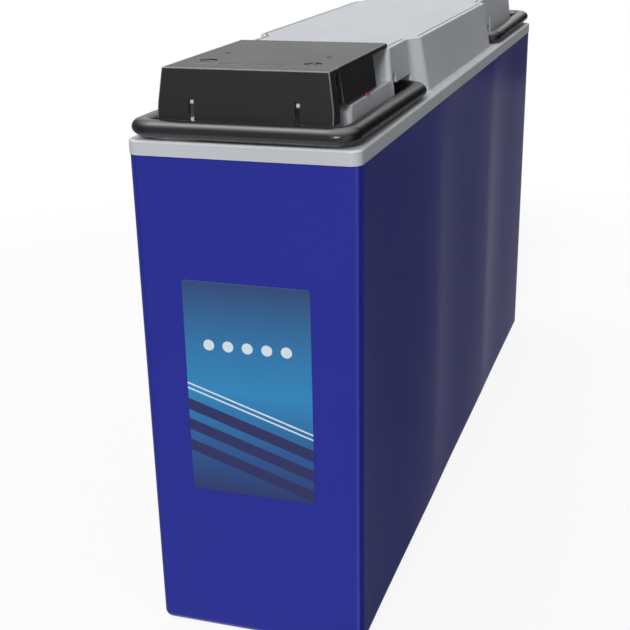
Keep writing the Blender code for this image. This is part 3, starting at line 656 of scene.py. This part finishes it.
def pivotCuts():
    # pocket, moulding slit and pin bore for each leg of the handles
    look = lidLook
    pockets, slits, bores = [], [], []
    inner, outer = look.pocketFloor, lidHigh.x - look.pocketOpen
    for side, end in ((side, end) for side in (-1, 1) for end in (-1, 1)):
        x0, x1, tip = side * inner, side * outer, end * look.pocketEnd
        pockets.append(brick(x0, x1, end * look.pocketBack, tip, ledge, look.pocketTop))
        slits.append(brick(x0, x1, tip - end * look.slitLength, tip, pivot.z, look.slitTop))
        y, z = end * pivot.y, pivot.z
        start, mouth = side * look.pinEnd, side * (inner + look.boreReach)
        bores.append(rod((start, y, z), (mouth, y, z), look.pinBore))
    return pockets, slits, bores


def makeLid():
    look = lidLook
    plan = rectangle(-lidHigh.x, lidHigh.x, -lidHigh.y, lidHigh.y)
    lid = newPiece("lidShell", slab(
        plan, look.corner, lidLow.z, ledge, look.footEdge, look.edge))
    join(lid, wallOnLedge(towerOutline, towerTop, look.towerFillet, look.towerEdge))
    blockTop = look.blockTop
    join(lid, wallOnLedge(
        blockOutline, blockTop, look.blockFillet, look.blockEdge,
        [blockTop - ledge - look.blockChamfer]))
    join(lid, *[makeLatch(side * look.latchX, nub) for side, nub in zip((-1, 1), look.nubTops)])
    for chambers in lidChambers():
        cut(lid, *chambers)
    rim, chamfer, floor = look.rim, look.rimChamfer, look.recessFloor
    levels = (
        (rim, floor), (rim, towerTop - chamfer), (rim - chamfer, towerTop),
        (rim - chamfer, towerTop + overcut))
    cut(lid, loft([(towerOutline(1, tuck), z) for tuck, z in levels]))
    foot, mouth = floor - look.skin / 2, floor + look.chimneyRise
    radius, bevel = look.chimneyRadius, look.chimneyBevel
    chimney = [(radius, foot), (radius, mouth - bevel), (radius - bevel, mouth)]
    join(lid, *[turned(chimney, x, y) for x, y in ventPlaces])
    for cuts in pivotCuts():
        cut(lid, *cuts)
    port = [(look.postBore, z) for z in (ledge, blockTop + overcut)]
    vent = [(look.ventBore, z) for z in (floor - look.skin - overcut, mouth + overcut)]
    cut(lid, *[turned(port, x, y) for x, y in terminalPlaces],
        *[turned(vent, x, y) for x, y in ventPlaces])
    finishPiece(lid, greyAbs, "battery", ["lid"])


makeLid()


# Vent cover, flush in the top of the tower

ventLook = Look(groove=1.1, edge=0.5, plate=2.5, wall=2, gap=0.3, arrestorWall=2, arrestorGap=0.3)


def makeVentCover():
    look = ventLook
    side = lidLook.rim + look.groove
    foot, ceiling = lidLook.recessFloor + look.gap, towerTop - look.plate
    levels = [(side, foot)]
    levels += [(side + tuck, towerTop - drop) for tuck, drop in quarter(look.edge)]
    cover = newPiece("ventCover", loft([(towerOutline(1, tuck), z) for tuck, z in levels]))
    inner = towerOutline(1, side + look.wall)
    cut(cover, loft([(inner, foot - overcut), (inner, ceiling)]))
    low, high = nodeBox("flame_arrestor")
    middle = (low + high) / 2
    bore = high.x + look.arrestorGap
    wide, top = bore + look.arrestorWall, ceiling + overcut
    collar = [(bore, low.z), (wide, low.z), (wide, top), (bore, top)]
    join(cover, turned(collar, middle.x, middle.y, closed=True))
    finishPiece(cover, greyAbs, "battery", ["vent_cover"])


makeVentCover()


# Terminal cover

coverLook = Look(
    plate=2.4, edge=0.7, corner=1.5,
    skirtWall=2.4, skirtFront=253.8, skirtRear=191.8, skirtCorners=[3, 1.2, 0, 0], skirtEdge=0.4,
    skirtFlare=2.5, skirtStep=0.02,   # how far the skirts lean out, and stand back from the plate
    probeRadius=1.6, probes=((-30.3, -215.3), (29.2, -221)),
    markRadius=4.6, markDepth=0.8, markSides=48, marks=((-29.9, -243), (28.5, -246.3)),
    signLong=7, signWide=1.8, signEdge=0.2, signRoot=1, signDrop=0.05,
    notchLeft=-19.4, notchRight=15, notchDeep=0.35, notchWide=0.5, notchBack=2.4)

plateLow, plateHigh = nodeBox("terminal_cover")
coverHalf, coverTop = plateHigh.x, plateHigh.z
coverUnder = coverTop - coverLook.plate
hinge = jointPlace("flap_hinge")


def makeCoverPlate():
    look = coverLook
    front, corner, past = plateLow.y, look.corner, coverTop + overcut
    plan = rectangle(-coverHalf, coverHalf, front, plateHigh.y)
    cover = newPiece("coverPlate", slab(
        plan, [0, 0, corner, corner], coverUnder, coverTop, 0, look.edge))
    low, middle = plateLow.z, coverUnder + look.plate / 2
    side = rectangle(-look.skirtFront, -look.skirtRear, low, middle)
    inner, outer = coverHalf - look.skirtWall, coverHalf - look.skirtStep
    edge = look.skirtEdge
    skirts = [slab(side, look.skirtCorners, *ends, edge, edge, "x")
        for ends in ((inner, outer), (-outer, -inner))]
    for vert in (vert for skirt in skirts for vert in skirt.verts):
        lean = look.skirtFlare * (middle - vert.co.z) / (middle - low)
        vert.co.x += math.copysign(lean, vert.co.x)
    join(cover, *skirts)
    probes = [rod((x, y, coverUnder - overcut), (x, y, past), look.probeRadius)
        for x, y in look.probes]
    dishes = [rod((x, y, coverTop - look.markDepth), (x, y, past), look.markRadius,
        look.markSides) for x, y in look.marks]
    cut(cover, *probes, *dishes)
    # shallow line behind the hinge, with a short tick at each end
    left, right, wide = look.notchLeft, look.notchRight, look.notchWide
    line, floor = front + look.notchBack, coverTop - look.notchDeep
    cut(cover, brick(left, right, line - wide, line, floor, past))
    cut(cover, *[brick(x, x + wide, front - overcut, line - wide / 2, floor, past)
        for x in (left, right - wide)])
    # minus and plus, raised in the two round marks
    long, wide = look.signLong / 2, look.signWide / 2
    for x, y in look.marks:
        for halfX, halfY in [(long, wide)] if x < 0 else [(long, wide), (wide, long)]:
            bar = rectangle(x - halfX, x + halfX, y - halfY, y + halfY)
            join(cover, slab(bar, 0, coverUnder + look.signRoot, coverTop - look.signDrop, 0,
                look.signEdge))
    finishPiece(cover, blackGrainedAbs, "terminal_cover", ["terminal_cover"])


flapLook = Look(
    topFront=270.3,    # front of the panel's upper edge, just inside the handle's swing
    flare=2.6, slopeTall=19.2, wall=2.4,
    edge=0.8, footEdge=0.4, footSteps=3, corner=0.8, innerCorner=0.3,
    hingeCorner=0.15, hingeEdge=0.35,
    bendLevels=(-1.5, -0.5, 0.5, 1.5), bendHalf=1.5, bendEase=0.03,   # crease below the slope
    returnRear=262.3,  # where the side returns end, short of the hinge
    rearPast=2,        # how far the cuts run past the hinge
    slotWide=2.9, slotTop=308.8, slotDepth=6)

flapLow, flapHigh = nodeBox("terminal_cover_flap")


def flapOutline(z, wall, tuck, past=0.0):
    look = flapLook
    drop = (coverTop - z) / (coverTop - flapLow.z)
    flare = min((coverTop - z) / look.slopeTall, 1)
    half = coverHalf + look.flare * flare - wall - tuck
    front = look.topFront - (look.topFront + flapLow.y) * drop - wall - tuck
    rear = flapHigh.y + past - min(tuck, look.hingeEdge)
    corner, small = max(look.innerCorner, look.corner - wall), look.hingeCorner
    return rounded(rectangle(-half, half, -front, rear), [corner, corner, small, small])


def makeFlap():
    look = flapLook
    bend, wall = coverTop - look.slopeTall, look.wall
    levels = [(tuck, flapLow.z + drop)
        for tuck, drop in reversed(quarter(look.footEdge, look.footSteps))]
    levels += [(look.bendEase * (look.bendHalf - abs(lift)), bend + lift)
        for lift in look.bendLevels]
    levels += [(tuck, coverTop - drop) for tuck, drop in quarter(look.edge)]
    flap = newPiece("coverFlap", loft([(flapOutline(z, 0, tuck), z) for tuck, z in levels]))
    foot, past = flapLow.z - overcut, look.rearPast
    cut(flap, loft([(flapOutline(z, wall, 0, past), z) for z in (foot, bend, coverUnder)]))
    reach = coverHalf + look.flare + overcut
    cut(flap, brick(-reach, reach, -look.returnRear, flapHigh.y + past, foot, coverUnder))
    half, front = look.slotWide / 2, flapLow.y
    cut(flap, *[brick(
        x - half, x + half, front - overcut, front + look.slotDepth, foot, look.slotTop)
        for x in (-lidLook.latchX, lidLook.latchX)])
    node = "terminal_cover_flap"
    finishPiece(flap, blackGrainedAbs, node, [node])


filmLook = Look(thick=0.5, below=0.12, reach=1.6, endGap=1.6, steps=12, bendHalf=0.7)


def makeFilm():
    # thin strip that joins the flap to the cover
    look = filmLook
    top, half = coverTop - look.below, coverHalf - look.endGap
    section = rectangle(-half, half, top - look.thick, top)
    rings = []
    for k in range(look.steps + 1):
        y = hinge.y + look.reach * (1 - 2 * k / look.steps)
        rings.append([(x, y, z) for x, z in section])
    film = newPiece("hingeFilm", ringSolid(rings))
    finishPiece(film, blackGrainedAbs, None, [])
    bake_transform(film)


makeCoverPlate()
makeFlap()
makeFilm()


# Node trees

def newTree(name, inputs, output):
    # a tree with named inputs, and the identifiers that set them
    tree = bpy.data.node_groups.new(name, "GeometryNodeTree")
    identifiers = {}
    for socket, kind in inputs.items():
        identifiers[socket] = tree.interface.new_socket(
            socket, in_out="INPUT", socket_type="NodeSocket" + kind).identifier
    tree.interface.new_socket(output, in_out="OUTPUT", socket_type="NodeSocketGeometry")
    return tree, identifiers


def endTree(tree, given, shape, output):
    real = addNode(tree, "GeometryNodeRealizeInstances", {"Geometry": shape})
    done = addNode(tree, "GeometryNodeSetMaterial", {
        "Geometry": real, "Material": given.outputs["Material"]})
    addNode(tree, "NodeGroupOutput", {output: done})


def grow(name, mesh, tree, identifiers, inputs):
    # what a tree makes of a mesh, as a plain mesh
    piece = link(name, mesh)
    modifier = piece.modifiers.new("grow", "NODES")
    modifier.node_group = tree
    for socket, value in inputs.items():
        modifier[identifiers[socket]] = value
    bake(piece)
    return piece


# Handles

gripLook = Look(
    wide=11.4, tall=9, lift=0.42, cornerRadius=9.5, elbowRadius=10,
    legEnd=38, pinEnd=29.7, pinRadius=4, pinEdge=0.3,
    arcSteps=14, runSteps=6, sides=36)

gripTree, gripInputs = newTree(
    "gripSweep", {"Path": "Geometry", "Sides": "Int", "Material": "Material"}, "Grip")


def fillGripTree(tree):
    # a round section as wide as the path says, swept along it and flattened in height
    given = addNode(tree, "NodeGroupInput")
    wide, flat = (
        addNode(tree, "GeometryNodeInputNamedAttribute", {"Name": name}, data_type="FLOAT")
        for name in ("halfWide", "flatness"))
    line = addNode(tree, "GeometryNodeMeshToCurve", {"Mesh": given.outputs["Path"]})
    ring = addNode(tree, "GeometryNodeCurvePrimitiveCircle", {
        "Resolution": given.outputs["Sides"], "Radius": 1.0})
    tube = addNode(tree, "GeometryNodeCurveToMesh", {
        "Curve": line, "Profile Curve": ring, "Scale": wide.outputs["Attribute"],
        "Fill Caps": True})
    place = addNode(tree, "GeometryNodeInputPosition")
    here = addNode(tree, "ShaderNodeSeparateXYZ", {"Vector": place})
    height = addNode(tree, "ShaderNodeMath", {
        0: here.outputs["Z"], 1: flat.outputs["Attribute"]}, operation="MULTIPLY")
    there = addNode(tree, "ShaderNodeCombineXYZ", {
        "X": here.outputs["X"], "Y": here.outputs["Y"], "Z": height})
    oval = addNode(tree, "GeometryNodeSetPosition", {"Geometry": tube, "Position": there})
    endTree(tree, given, oval, "Grip")


fillGripTree(gripTree)


def gripPath(armX, barReach):
    # half of the centre line, from the pivot pin to the bar, as (x, y, half width)
    look = gripLook
    wide, leg, pin = look.wide / 2, look.tall / 2, look.pinRadius
    start, legEnd, edge = look.pinEnd, look.legEnd, look.pinEdge
    points = [
        (start, 0, pin - edge), (start + edge, 0, pin), (legEnd - edge, 0, pin),
        (legEnd, 0, leg - edge), (legEnd + edge, 0, leg)]
    steps, elbow, corner = look.arcSteps, look.elbowRadius, look.cornerRadius
    for k in range(steps + 1):
        turn = math.pi / 2 * (1 - k / steps)
        ease = (1 - math.cos(math.pi * k / steps)) / 2
        points.append((
            armX - elbow * (1 - math.cos(turn)), -elbow * (1 - math.sin(turn)),
            between(leg, wide, ease)))
    for k in range(1, look.runSteps):
        share = k / look.runSteps
        points.append((armX, -elbow - (barReach - corner - elbow) * share, wide))
    for k in range(steps + 1):
        turn = math.pi / 2 * k / steps
        points.append((
            armX - corner * (1 - math.cos(turn)), corner * (1 - math.sin(turn)) - barReach, wide))
    return points


def makeHandle(name, node, facing):
    place = jointPlace(node + "_swing")
    low, high = nodeBox(node)
    wide, tall, runs = gripLook.wide / 2, gripLook.tall / 2, gripLook.runSteps
    tip = low.y if facing > 0 else -high.y
    half = gripPath(high.x - wide, -abs(place.y) - tip - wide)
    barX, barY = half[-1][:2]
    bar = [(barX * (1 - 2 * k / runs), barY, wide) for k in range(1, runs)]
    path = half + bar + [(-x, y, w) for x, y, w in reversed(half)]
    mesh = bpy.data.meshes.new(name)
    links = [(i, i + 1) for i in range(len(path) - 1)]
    mesh.from_pydata([(x, y, 0) for x, y, w in path], links, [])
    for attribute, values in (
            ("halfWide", [w for x, y, w in path]),
            ("flatness", [min(w, tall) / w for x, y, w in path])):
        mesh.attributes.new(attribute, "FLOAT", "POINT").data.foreach_set("value", values)
    handle = grow(name, mesh, gripTree, gripInputs, {
        "Sides": gripLook.sides, "Material": blackSmoothGrip})
    # the bar rests a little above the arms' feet
    turn = Matrix.Rotation(0 if facing > 0 else math.pi, 4, "Z")
    tilt = Matrix.Rotation(math.radians(-gripLook.lift), 4, "X")
    handle.data.transform(Matrix.Translation(place) @ turn @ tilt)
    finishPiece(handle, blackSmoothGrip, node, [node], sharp=50)


makeHandle("frontHandleGrip", "front_handle", 1)
makeHandle("rearHandleGrip", "rear_handle", -1)


# Terminals and valves: one shape each, set out by a node tree

copyTree, copyInputs = newTree("copiesOnPlaces", {
    "Places": "Geometry", "Shape": "Object", "Size": "Float", "Material": "Material"}, "Copies")


def fillCopyTree(tree):
    given = addNode(tree, "NodeGroupInput")
    shape = addNode(tree, "GeometryNodeObjectInfo", {"Object": given.outputs["Shape"]})
    copies = addNode(tree, "GeometryNodeInstanceOnPoints", {
        "Points": given.outputs["Places"], "Instance": shape.outputs["Geometry"],
        "Scale": given.outputs["Size"]})
    endTree(tree, given, copies, "Copies")


fillCopyTree(copyTree)


def setOut(name, shape, places, material, nodes):
    mesh = bpy.data.meshes.new(name)
    mesh.from_pydata([(x, y, 0) for x, y in places], [], [])
    copies = grow(name, mesh, copyTree, copyInputs, {
        "Shape": shape, "Size": 1.0, "Material": material})
    bpy.data.objects.remove(shape, do_unlink=True)
    finishPiece(copies, material, "battery", nodes)


terminalLook = Look(
    postTop=307.3, postEdge=0.6, bore=4.2, boreFloor=291.3,
    ringInner=8.3, ringOuter=15.4, ringLow=303.4, ringHigh=304.4, ringEdge=0.3,
    tab=(12, 17.7, 4, 9.5),   # tongue of the red ring, from the terminal outwards
    tabCorner=2, tabStep=0.01,
    washerRadius=8, washerHigh=309.2, washerEdge=0.25,
    springRadius=7, springHigh=311.6, springSplit=14, springRise=0.5, springSteps=40,
    across=13, headHigh=317.1, headChamfer=0.9, headCrown=0.2,
    boltRadius=3.9, boltSides=24, shank=3, tipTaper=0.8, tipGap=0.4,
    threadPitch=1.25, threadDepth=0.35, threadEnd=1)


def washerShape(inner, outer, low, high, edge):
    return newPiece("washerShape", turned([
        (inner, low), (outer - edge, low), (outer, low + edge), (outer, high - edge),
        (outer - edge, high), (inner + edge, high), (inner, high - edge)], closed=True))


def springShape():
    # split ring whose two ends stand a little apart in height
    look = terminalLook
    inner, outer, split = look.bore, look.springRadius, look.springSplit
    low, high = look.washerHigh, look.springHigh - look.springRise
    rings = []
    for share in (k / look.springSteps for k in range(look.springSteps + 1)):
        turn = math.radians(split / 2 + (360 - split) * share)
        lift = look.springRise * share
        rings.append([(radius * math.cos(turn), radius * math.sin(turn), z + lift)
            for radius, z in rectangle(inner, outer, low, high)])
    return newPiece("springShape", ringSolid(rings))


def boltShape():
    look = terminalLook
    corner, flat, chamfer = look.across / math.sqrt(3), look.across / 2, look.headChamfer
    low, high, past = look.springHigh, look.headHigh, corner + overcut
    turns = [math.pi / 3 * i for i in range(6)]
    hexagon = [(corner * math.cos(t), corner * math.sin(t)) for t in turns]
    bolt = newPiece("boltShape", loft([(hexagon, low), (hexagon, high)]))
    crown = flat - look.headCrown
    head = [(flat, low), (past, low + chamfer), (past, high - chamfer), (crown, high)]
    combine(bolt, "INTERSECT", [turned(head)])
    radius, floor = look.boltRadius, look.boreFloor
    profile = [(radius, low + overcut)]
    z = low - look.shank
    while z > floor + look.threadEnd:
        profile += [(radius, z), (radius - look.threadDepth, z - look.threadPitch / 2)]
        z -= look.threadPitch
    profile.append((radius - look.tipTaper, floor + look.tipGap))
    join(bolt, turned(profile, sides=look.boltSides))
    return bolt


def postShape():
    look = terminalLook
    low, top, radius = postLow.z, look.postTop, postHigh.x - terminal.x
    bore, floor, edge = look.bore, look.boreFloor, look.postEdge
    return newPiece("postShape", turned([
        (0, low), (radius, low), (radius, top - edge), (radius - edge, top),
        (bore + edge, top), (bore, top - edge), (bore, floor), (0, floor)]))


def makeTerminals():
    look = terminalLook
    flat = washerShape(*[look[name] for name in (
        "bore", "washerRadius", "postTop", "washerHigh", "washerEdge")])
    for name, shape, material, slotName, kind in (
            ("terminalPosts", postShape(), castLead, "lead", "terminal_post"),
            ("flatWashers", flat, zincSteel, "steel", "flat_washer"),
            ("springWashers", springShape(), zincSteel, "steel", "spring_washer"),
            ("terminalBolts", boltShape(), zincSteel, "steel", "terminal_bolt")):
        nodes = [f"{pole}_{kind}" for pole in ("negative", "positive")]
        setOut(name, shape, terminalPlaces, material, nodes)
    low, high, edge, step = (look[name] for name in ("ringLow", "ringHigh", "ringEdge", "tabStep"))
    for pole, place, material, slotName in (
            ("negative", terminalPlaces[0], blackSmoothGrip, "black_ring"),
            ("positive", terminalPlaces[1], redPolypropylene, "red_ring")):
        ring = washerShape(look.ringInner, look.ringOuter, low, high, edge)
        if pole == "positive":
            join(ring, slab(
                rectangle(*look.tab), look.tabCorner, low + step, high - step, 0, edge))
        setOut(f"{pole}SealRing", ring, [place], material, [f"{pole}_seal_ring"])


valveLook = Look(bore=5.8, wall=1.7, roof=1.3, edge=0.5, roundness=0.3)


def makeValves():
    foot, top = valveLow.z, valveHigh.z
    bore, edge = valveLook.bore, valveLook.edge
    wide, roof, near = bore + valveLook.wall, top - valveLook.roof, edge * valveLook.roundness
    profile = [
        (0, roof), (bore, roof), (bore, foot), (wide, foot), (wide, top - edge),
        (wide - near, top - near), (wide - edge, top), (0, top)]
    shape = newPiece("valveShape", turned(profile))
    setOut("reliefValves", shape, ventPlaces, valveRubber,
        [f"relief_valve_{number}" for number in range(1, 7)])


makeTerminals()
makeValves()


# Label: printed film with plain slanted bands and a row of dots

labelLook = Look(
    corner=2, lift=0.1, edge=0.1, thick=0.3, slant=0.32,
    bands=((0.10, 0.155), (0.20, 0.255), (0.30, 0.355)),   # shares of the height, on the slant
    rules=((0.40, 0.407), (0.425, 0.432)),
    dotRise=26, dotPitch=11, dotRadius=3.1, dotReach=27,
    dotsBefore=1000,   # whole pitches that keep the row's count above zero
    field=((0, "#1a2b62"), (0.22, "#1b4f8c"), (0.5, "#2480b5"), (0.7, "#2370a4"), (1, "#233f70")),
    bandColour="#1d2459", pale="#cfdbe4")

labelLow, labelHigh = nodeBox("front_label")


def printedFilm():
    # polyester film, printed and laminated: smooth, glossy, colours deep under the laminate
    look = labelLook
    material, tree, shader = newFinish("printedFilm", {"IOR": 1.6, "Roughness": 0.35})
    middle, half = (labelLow + labelHigh) / 2 * mm, (labelHigh - labelLow) / 2 * mm
    place = addNode(tree, "ShaderNodeTexCoord").outputs["Object"]
    centred = addNode(tree, "ShaderNodeVectorMath", {
        0: place, 1: (middle.x, 0, middle.z)}, operation="SUBTRACT")
    spot = addNode(tree, "ShaderNodeSeparateXYZ", {"Vector": centred})
    signals = {"across": spot.outputs["X"], "up": spot.outputs["Z"]}
    pitch = look.dotPitch * mm
    for name, operation, *terms in (
            ("offset", "MULTIPLY", "across", look.slant),
            ("leaning", "ADD", "up", "offset"),
            ("counted", "ADD", "across", look.dotsBefore * pitch),
            ("dotAcross", "PINGPONG", "counted", pitch / 2),
            ("dotUp", "SUBTRACT", "up", look.dotRise * mm),
            ("acrossSquared", "MULTIPLY", "dotAcross", "dotAcross"),
            ("upSquared", "MULTIPLY", "dotUp", "dotUp"),
            ("squared", "ADD", "acrossSquared", "upSquared"),
            ("reach", "SQRT", "squared"),
            ("inDot", "LESS_THAN", "reach", look.dotRadius * mm),
            ("aside", "ABSOLUTE", "across"),
            ("inRow", "LESS_THAN", "aside", look.dotReach * mm),
            ("dots", "MULTIPLY", "inDot", "inRow")):
        inputs = {i: signals.get(term, term) for i, term in enumerate(terms)}
        signals[name] = addNode(tree, "ShaderNodeMath", inputs, operation=operation)
    rise, lean = (
        addNode(tree, "ShaderNodeMapRange", {
            "Value": signals[name], "From Min": -half.z, "From Max": half.z})
        for name in ("up", "leaning"))
    colour = addNode(tree, "ShaderNodeValToRGB", {"Fac": rise})
    setStops(colour, [(share, hexToLinear(code)) for share, code in look.field])
    masks = {}
    for name in ("bands", "rules"):
        masks[name] = addNode(tree, "ShaderNodeValToRGB", {"Fac": lean})
        stops = [(0, (0, 0, 0, 1))]
        for start, end in look[name]:
            stops += [(start, (1, 1, 1, 1)), (end, (0, 0, 0, 1))]
        setStops(masks[name], stops, "CONSTANT")
    light = addNode(tree, "ShaderNodeMath", {
        0: signals["dots"], 1: masks["rules"]}, operation="MAXIMUM")
    for mask, code in ((masks["bands"], look.bandColour), (light, look.pale)):
        colour = addNode(tree, "ShaderNodeMix", {
            0: mask, 6: colour, 7: hexToLinear(code)}, data_type="RGBA").outputs[2]
    feed(tree, shader, {"Base Color": colour})
    return material


def makeLabel():
    look = labelLook
    sheet = rectangle(labelLow.x, labelHigh.x, labelLow.z, labelHigh.z)
    lift, edge, thick = look.lift, look.edge, look.thick
    rings = []
    for tuck, out in ((0, lift), (0, lift + thick - edge), (edge, lift + thick)):
        outline = rounded(sheet, look.corner, tuck)
        rings.append([(x, -caseHalves(z)[1] - out, z) for x, z in outline])
    label = newPiece("frontLabel", ringSolid(rings))
    finishPiece(label, printedFilm(), "battery", ["front_label"])


makeLabel()


# Inner pieces keep their solids and get their finish

def dressInside():
    finishes = {
        "_positive_plates": brownPaste, "_negative_plates": greyPaste, "_separator": glassMat,
        "intercell_weld": castLead, "flame_arrestor": porousCeramic}
    dressed = 0
    for name, node in frame["nodes"].items():
        for words, material in finishes.items():
            if words in name:
                node.data.materials.clear()
                node.data.materials.append(material)
                dressed += 1
    print("dressed", dressed, "inner nodes")


dressInside()


# Studio

studioLook = Look(
    floorSize=3000, floorThick=2, floorColour="#f4f4f3", fadeStart=0.45, fadeEnd=0.9,
    floorGlow=0.86,    # share of the floor's white that the camera sees without shadow
    ambient=0.32,
    lamps=Look(
        frontSoftbox=Look(place=(0.06, -0.88, 0.47), strength=2.45, spread=18),
        topSoftbox=Look(place=(-0.36, 0, 0.93), strength=0.55, spread=26),
        rearFill=Look(place=(-0.3, 0.95, 0.04), strength=1.0, spread=30),
        cornerGlint=Look(place=(0.42, -0.88, 0.22), strength=1.3, spread=10)),
    plainLamps=("frontSoftbox", "rearFill"),   # not mirrored, or they would bleach the lid's top
    glintLamps=("cornerGlint",),               # only mirrored, in the bend of the handle
    focal=68.074, sensor=36, clip=(0.01, 20),
    cameraPlace=(218.34, -826.15, 410.50), yaw=-18.268, pitch=19.953, roll=-1.0951)

# What reflections see: from start to end of a span on an axis of sight, one share turns to another
surroundLook = Look(
    level=("Z", -0.164, -0.148, 0, 1),         # the line where the floor ends
    nearRight=("X", 0, 0.13, 0, 0.93),
    farRight=("X", 0.15, 0.21, 0, 1),
    behind=("Y", -0.3, 0.1, 0, 1),
    left=("X", -0.4, -0.75, 0, 0.8),
    low=("Z", 0.7, 0.4, 0, 1),
    depth=("Z", -0.164, -0.148, 0.95, 1),      # how dark it gets, below and above that line
    front=("Y", -0.3, -0.7, 0, 0.58),
    above=("Z", 0.55, 1, 1, 3.6))              # the softbox overhead
farShare = 0.07    # what the far right adds to the near right


def makeFloor():
    half = studioLook.floorSize / 2
    sheet = rectangle(-half, half, -half, half)
    floor = newPiece("studioFloor", loft([(sheet, -studioLook.floorThick), (sheet, 0)]))
    floor.data.transform(Matrix.Scale(mm, 4))
    # matt paper that fades into the white surround; reflections look past it to the surround
    material, tree, shader = newFinish("paperFloor", {
        "Base Color": hexToLinear(studioLook.floorColour), "Roughness": 0.9,
        "Specular IOR Level": 0.1})
    glow = addNode(tree, "ShaderNodeEmission", {"Strength": 1.0})
    paper = addNode(tree, "ShaderNodeMixShader", {0: studioLook.floorGlow, 1: shader, 2: glow})
    place = addNode(tree, "ShaderNodeTexCoord").outputs["Object"]
    reach = addNode(tree, "ShaderNodeVectorMath", {0: place}, operation="LENGTH").outputs["Value"]
    fade = addNode(tree, "ShaderNodeMapRange", {
        "Value": reach, "From Min": studioLook.fadeStart, "From Max": studioLook.fadeEnd},
        interpolation_type="SMOOTHSTEP")
    seen = addNode(tree, "ShaderNodeLightPath").outputs["Is Camera Ray"]
    unseen = addNode(tree, "ShaderNodeMath", {0: 1.0, 1: seen}, operation="SUBTRACT")
    hidden = addNode(tree, "ShaderNodeMath", {0: fade, 1: unseen}, operation="MAXIMUM")
    clear = addNode(tree, "ShaderNodeBsdfTransparent")
    mixed = addNode(tree, "ShaderNodeMixShader", {0: hidden, 1: paper, 2: clear})
    feed(tree, tree.nodes["Material Output"], {"Surface": mixed})
    floor.data.materials.append(material)


def makeSurround():
    # white to the camera; to reflections dark on both sides, dim in front and bright above;
    # even for soft light
    world = bpy.data.worlds.new("studioSurround")
    world.use_nodes = True
    bpy.context.scene.world = world
    tree = world.node_tree
    view = addNode(tree, "ShaderNodeTexCoord").outputs["Generated"]
    sight = addNode(tree, "ShaderNodeSeparateXYZ", {"Vector": view})
    path = addNode(tree, "ShaderNodeLightPath").outputs
    signals = {name: path[f"Is {name} Ray"] for name in ("Camera", "Glossy", "Transmission")}
    for name, (axis, start, end, before, after) in surroundLook.items():
        signals[name] = addNode(tree, "ShaderNodeMapRange", {
            "Value": sight.outputs[axis], "From Min": start, "From Max": end,
            "To Min": before, "To Max": after}, interpolation_type="SMOOTHSTEP")
    for name, operation, *terms in (
            ("far", "MAXIMUM", "farRight", "level"),
            ("step", "MULTIPLY_ADD", "far", farShare, "nearRight"),
            ("right", "MULTIPLY", "step", "behind"),
            ("sides", "MAXIMUM", "right", "left"),
            ("lowSides", "MULTIPLY", "sides", "low"),
            ("dark", "MULTIPLY", "lowSides", "depth"),
            ("dim", "MAXIMUM", "dark", "front"),
            ("mirrored", "SUBTRACT", "above", "dim"),
            ("shown", "MAXIMUM", "Glossy", "Transmission"),
            ("shine", "MULTIPLY", "shown", "mirrored"),
            ("light", "MAXIMUM", "shine", "Camera"),
            ("unshown", "SUBTRACT", 1.0, "shown"),
            ("soft", "MULTIPLY", "unshown", studioLook.ambient),
            ("strength", "MAXIMUM", "light", "soft")):
        inputs = {i: signals.get(term, term) for i, term in enumerate(terms)}
        signals[name] = addNode(tree, "ShaderNodeMath", inputs, operation=operation)
    feed(tree, tree.nodes["Background"], {"Color": (1, 1, 1, 1), "Strength": signals["strength"]})


def makeLight():
    for name, look in studioLook.lamps.items():
        lamp = bpy.data.lights.new(name, "SUN")
        lamp.energy = look.strength
        lamp.angle = math.radians(look.spread)
        light = link(name, lamp)
        light.rotation_euler = Vector(look.place).to_track_quat("Z", "Y").to_euler()
        light.visible_glossy = name not in studioLook.plainLamps
        light.visible_diffuse = name not in studioLook.glintLamps


def makeCamera():
    look = studioLook
    yaw, pitch, roll = (math.radians(look[name]) for name in ("yaw", "pitch", "roll"))
    data = bpy.data.cameras.new("photoCamera")
    data.lens, data.sensor_width = look.focal, look.sensor
    data.clip_start, data.clip_end = look.clip
    camera = link("photoCamera", data)
    turn = Matrix.Rotation(-yaw, 4, "Z") @ Matrix.Rotation(math.pi / 2 - pitch, 4, "X")
    camera.matrix_world = (
        Matrix.Translation(Vector(look.cameraPlace) * mm) @ turn @ Matrix.Rotation(roll, 4, "Z"))
    bpy.context.scene.camera = camera


makeFloor()
makeSurround()
makeLight()
makeCamera()
bpy.context.scene.view_settings.view_transform = "Standard"
print("studio ready")
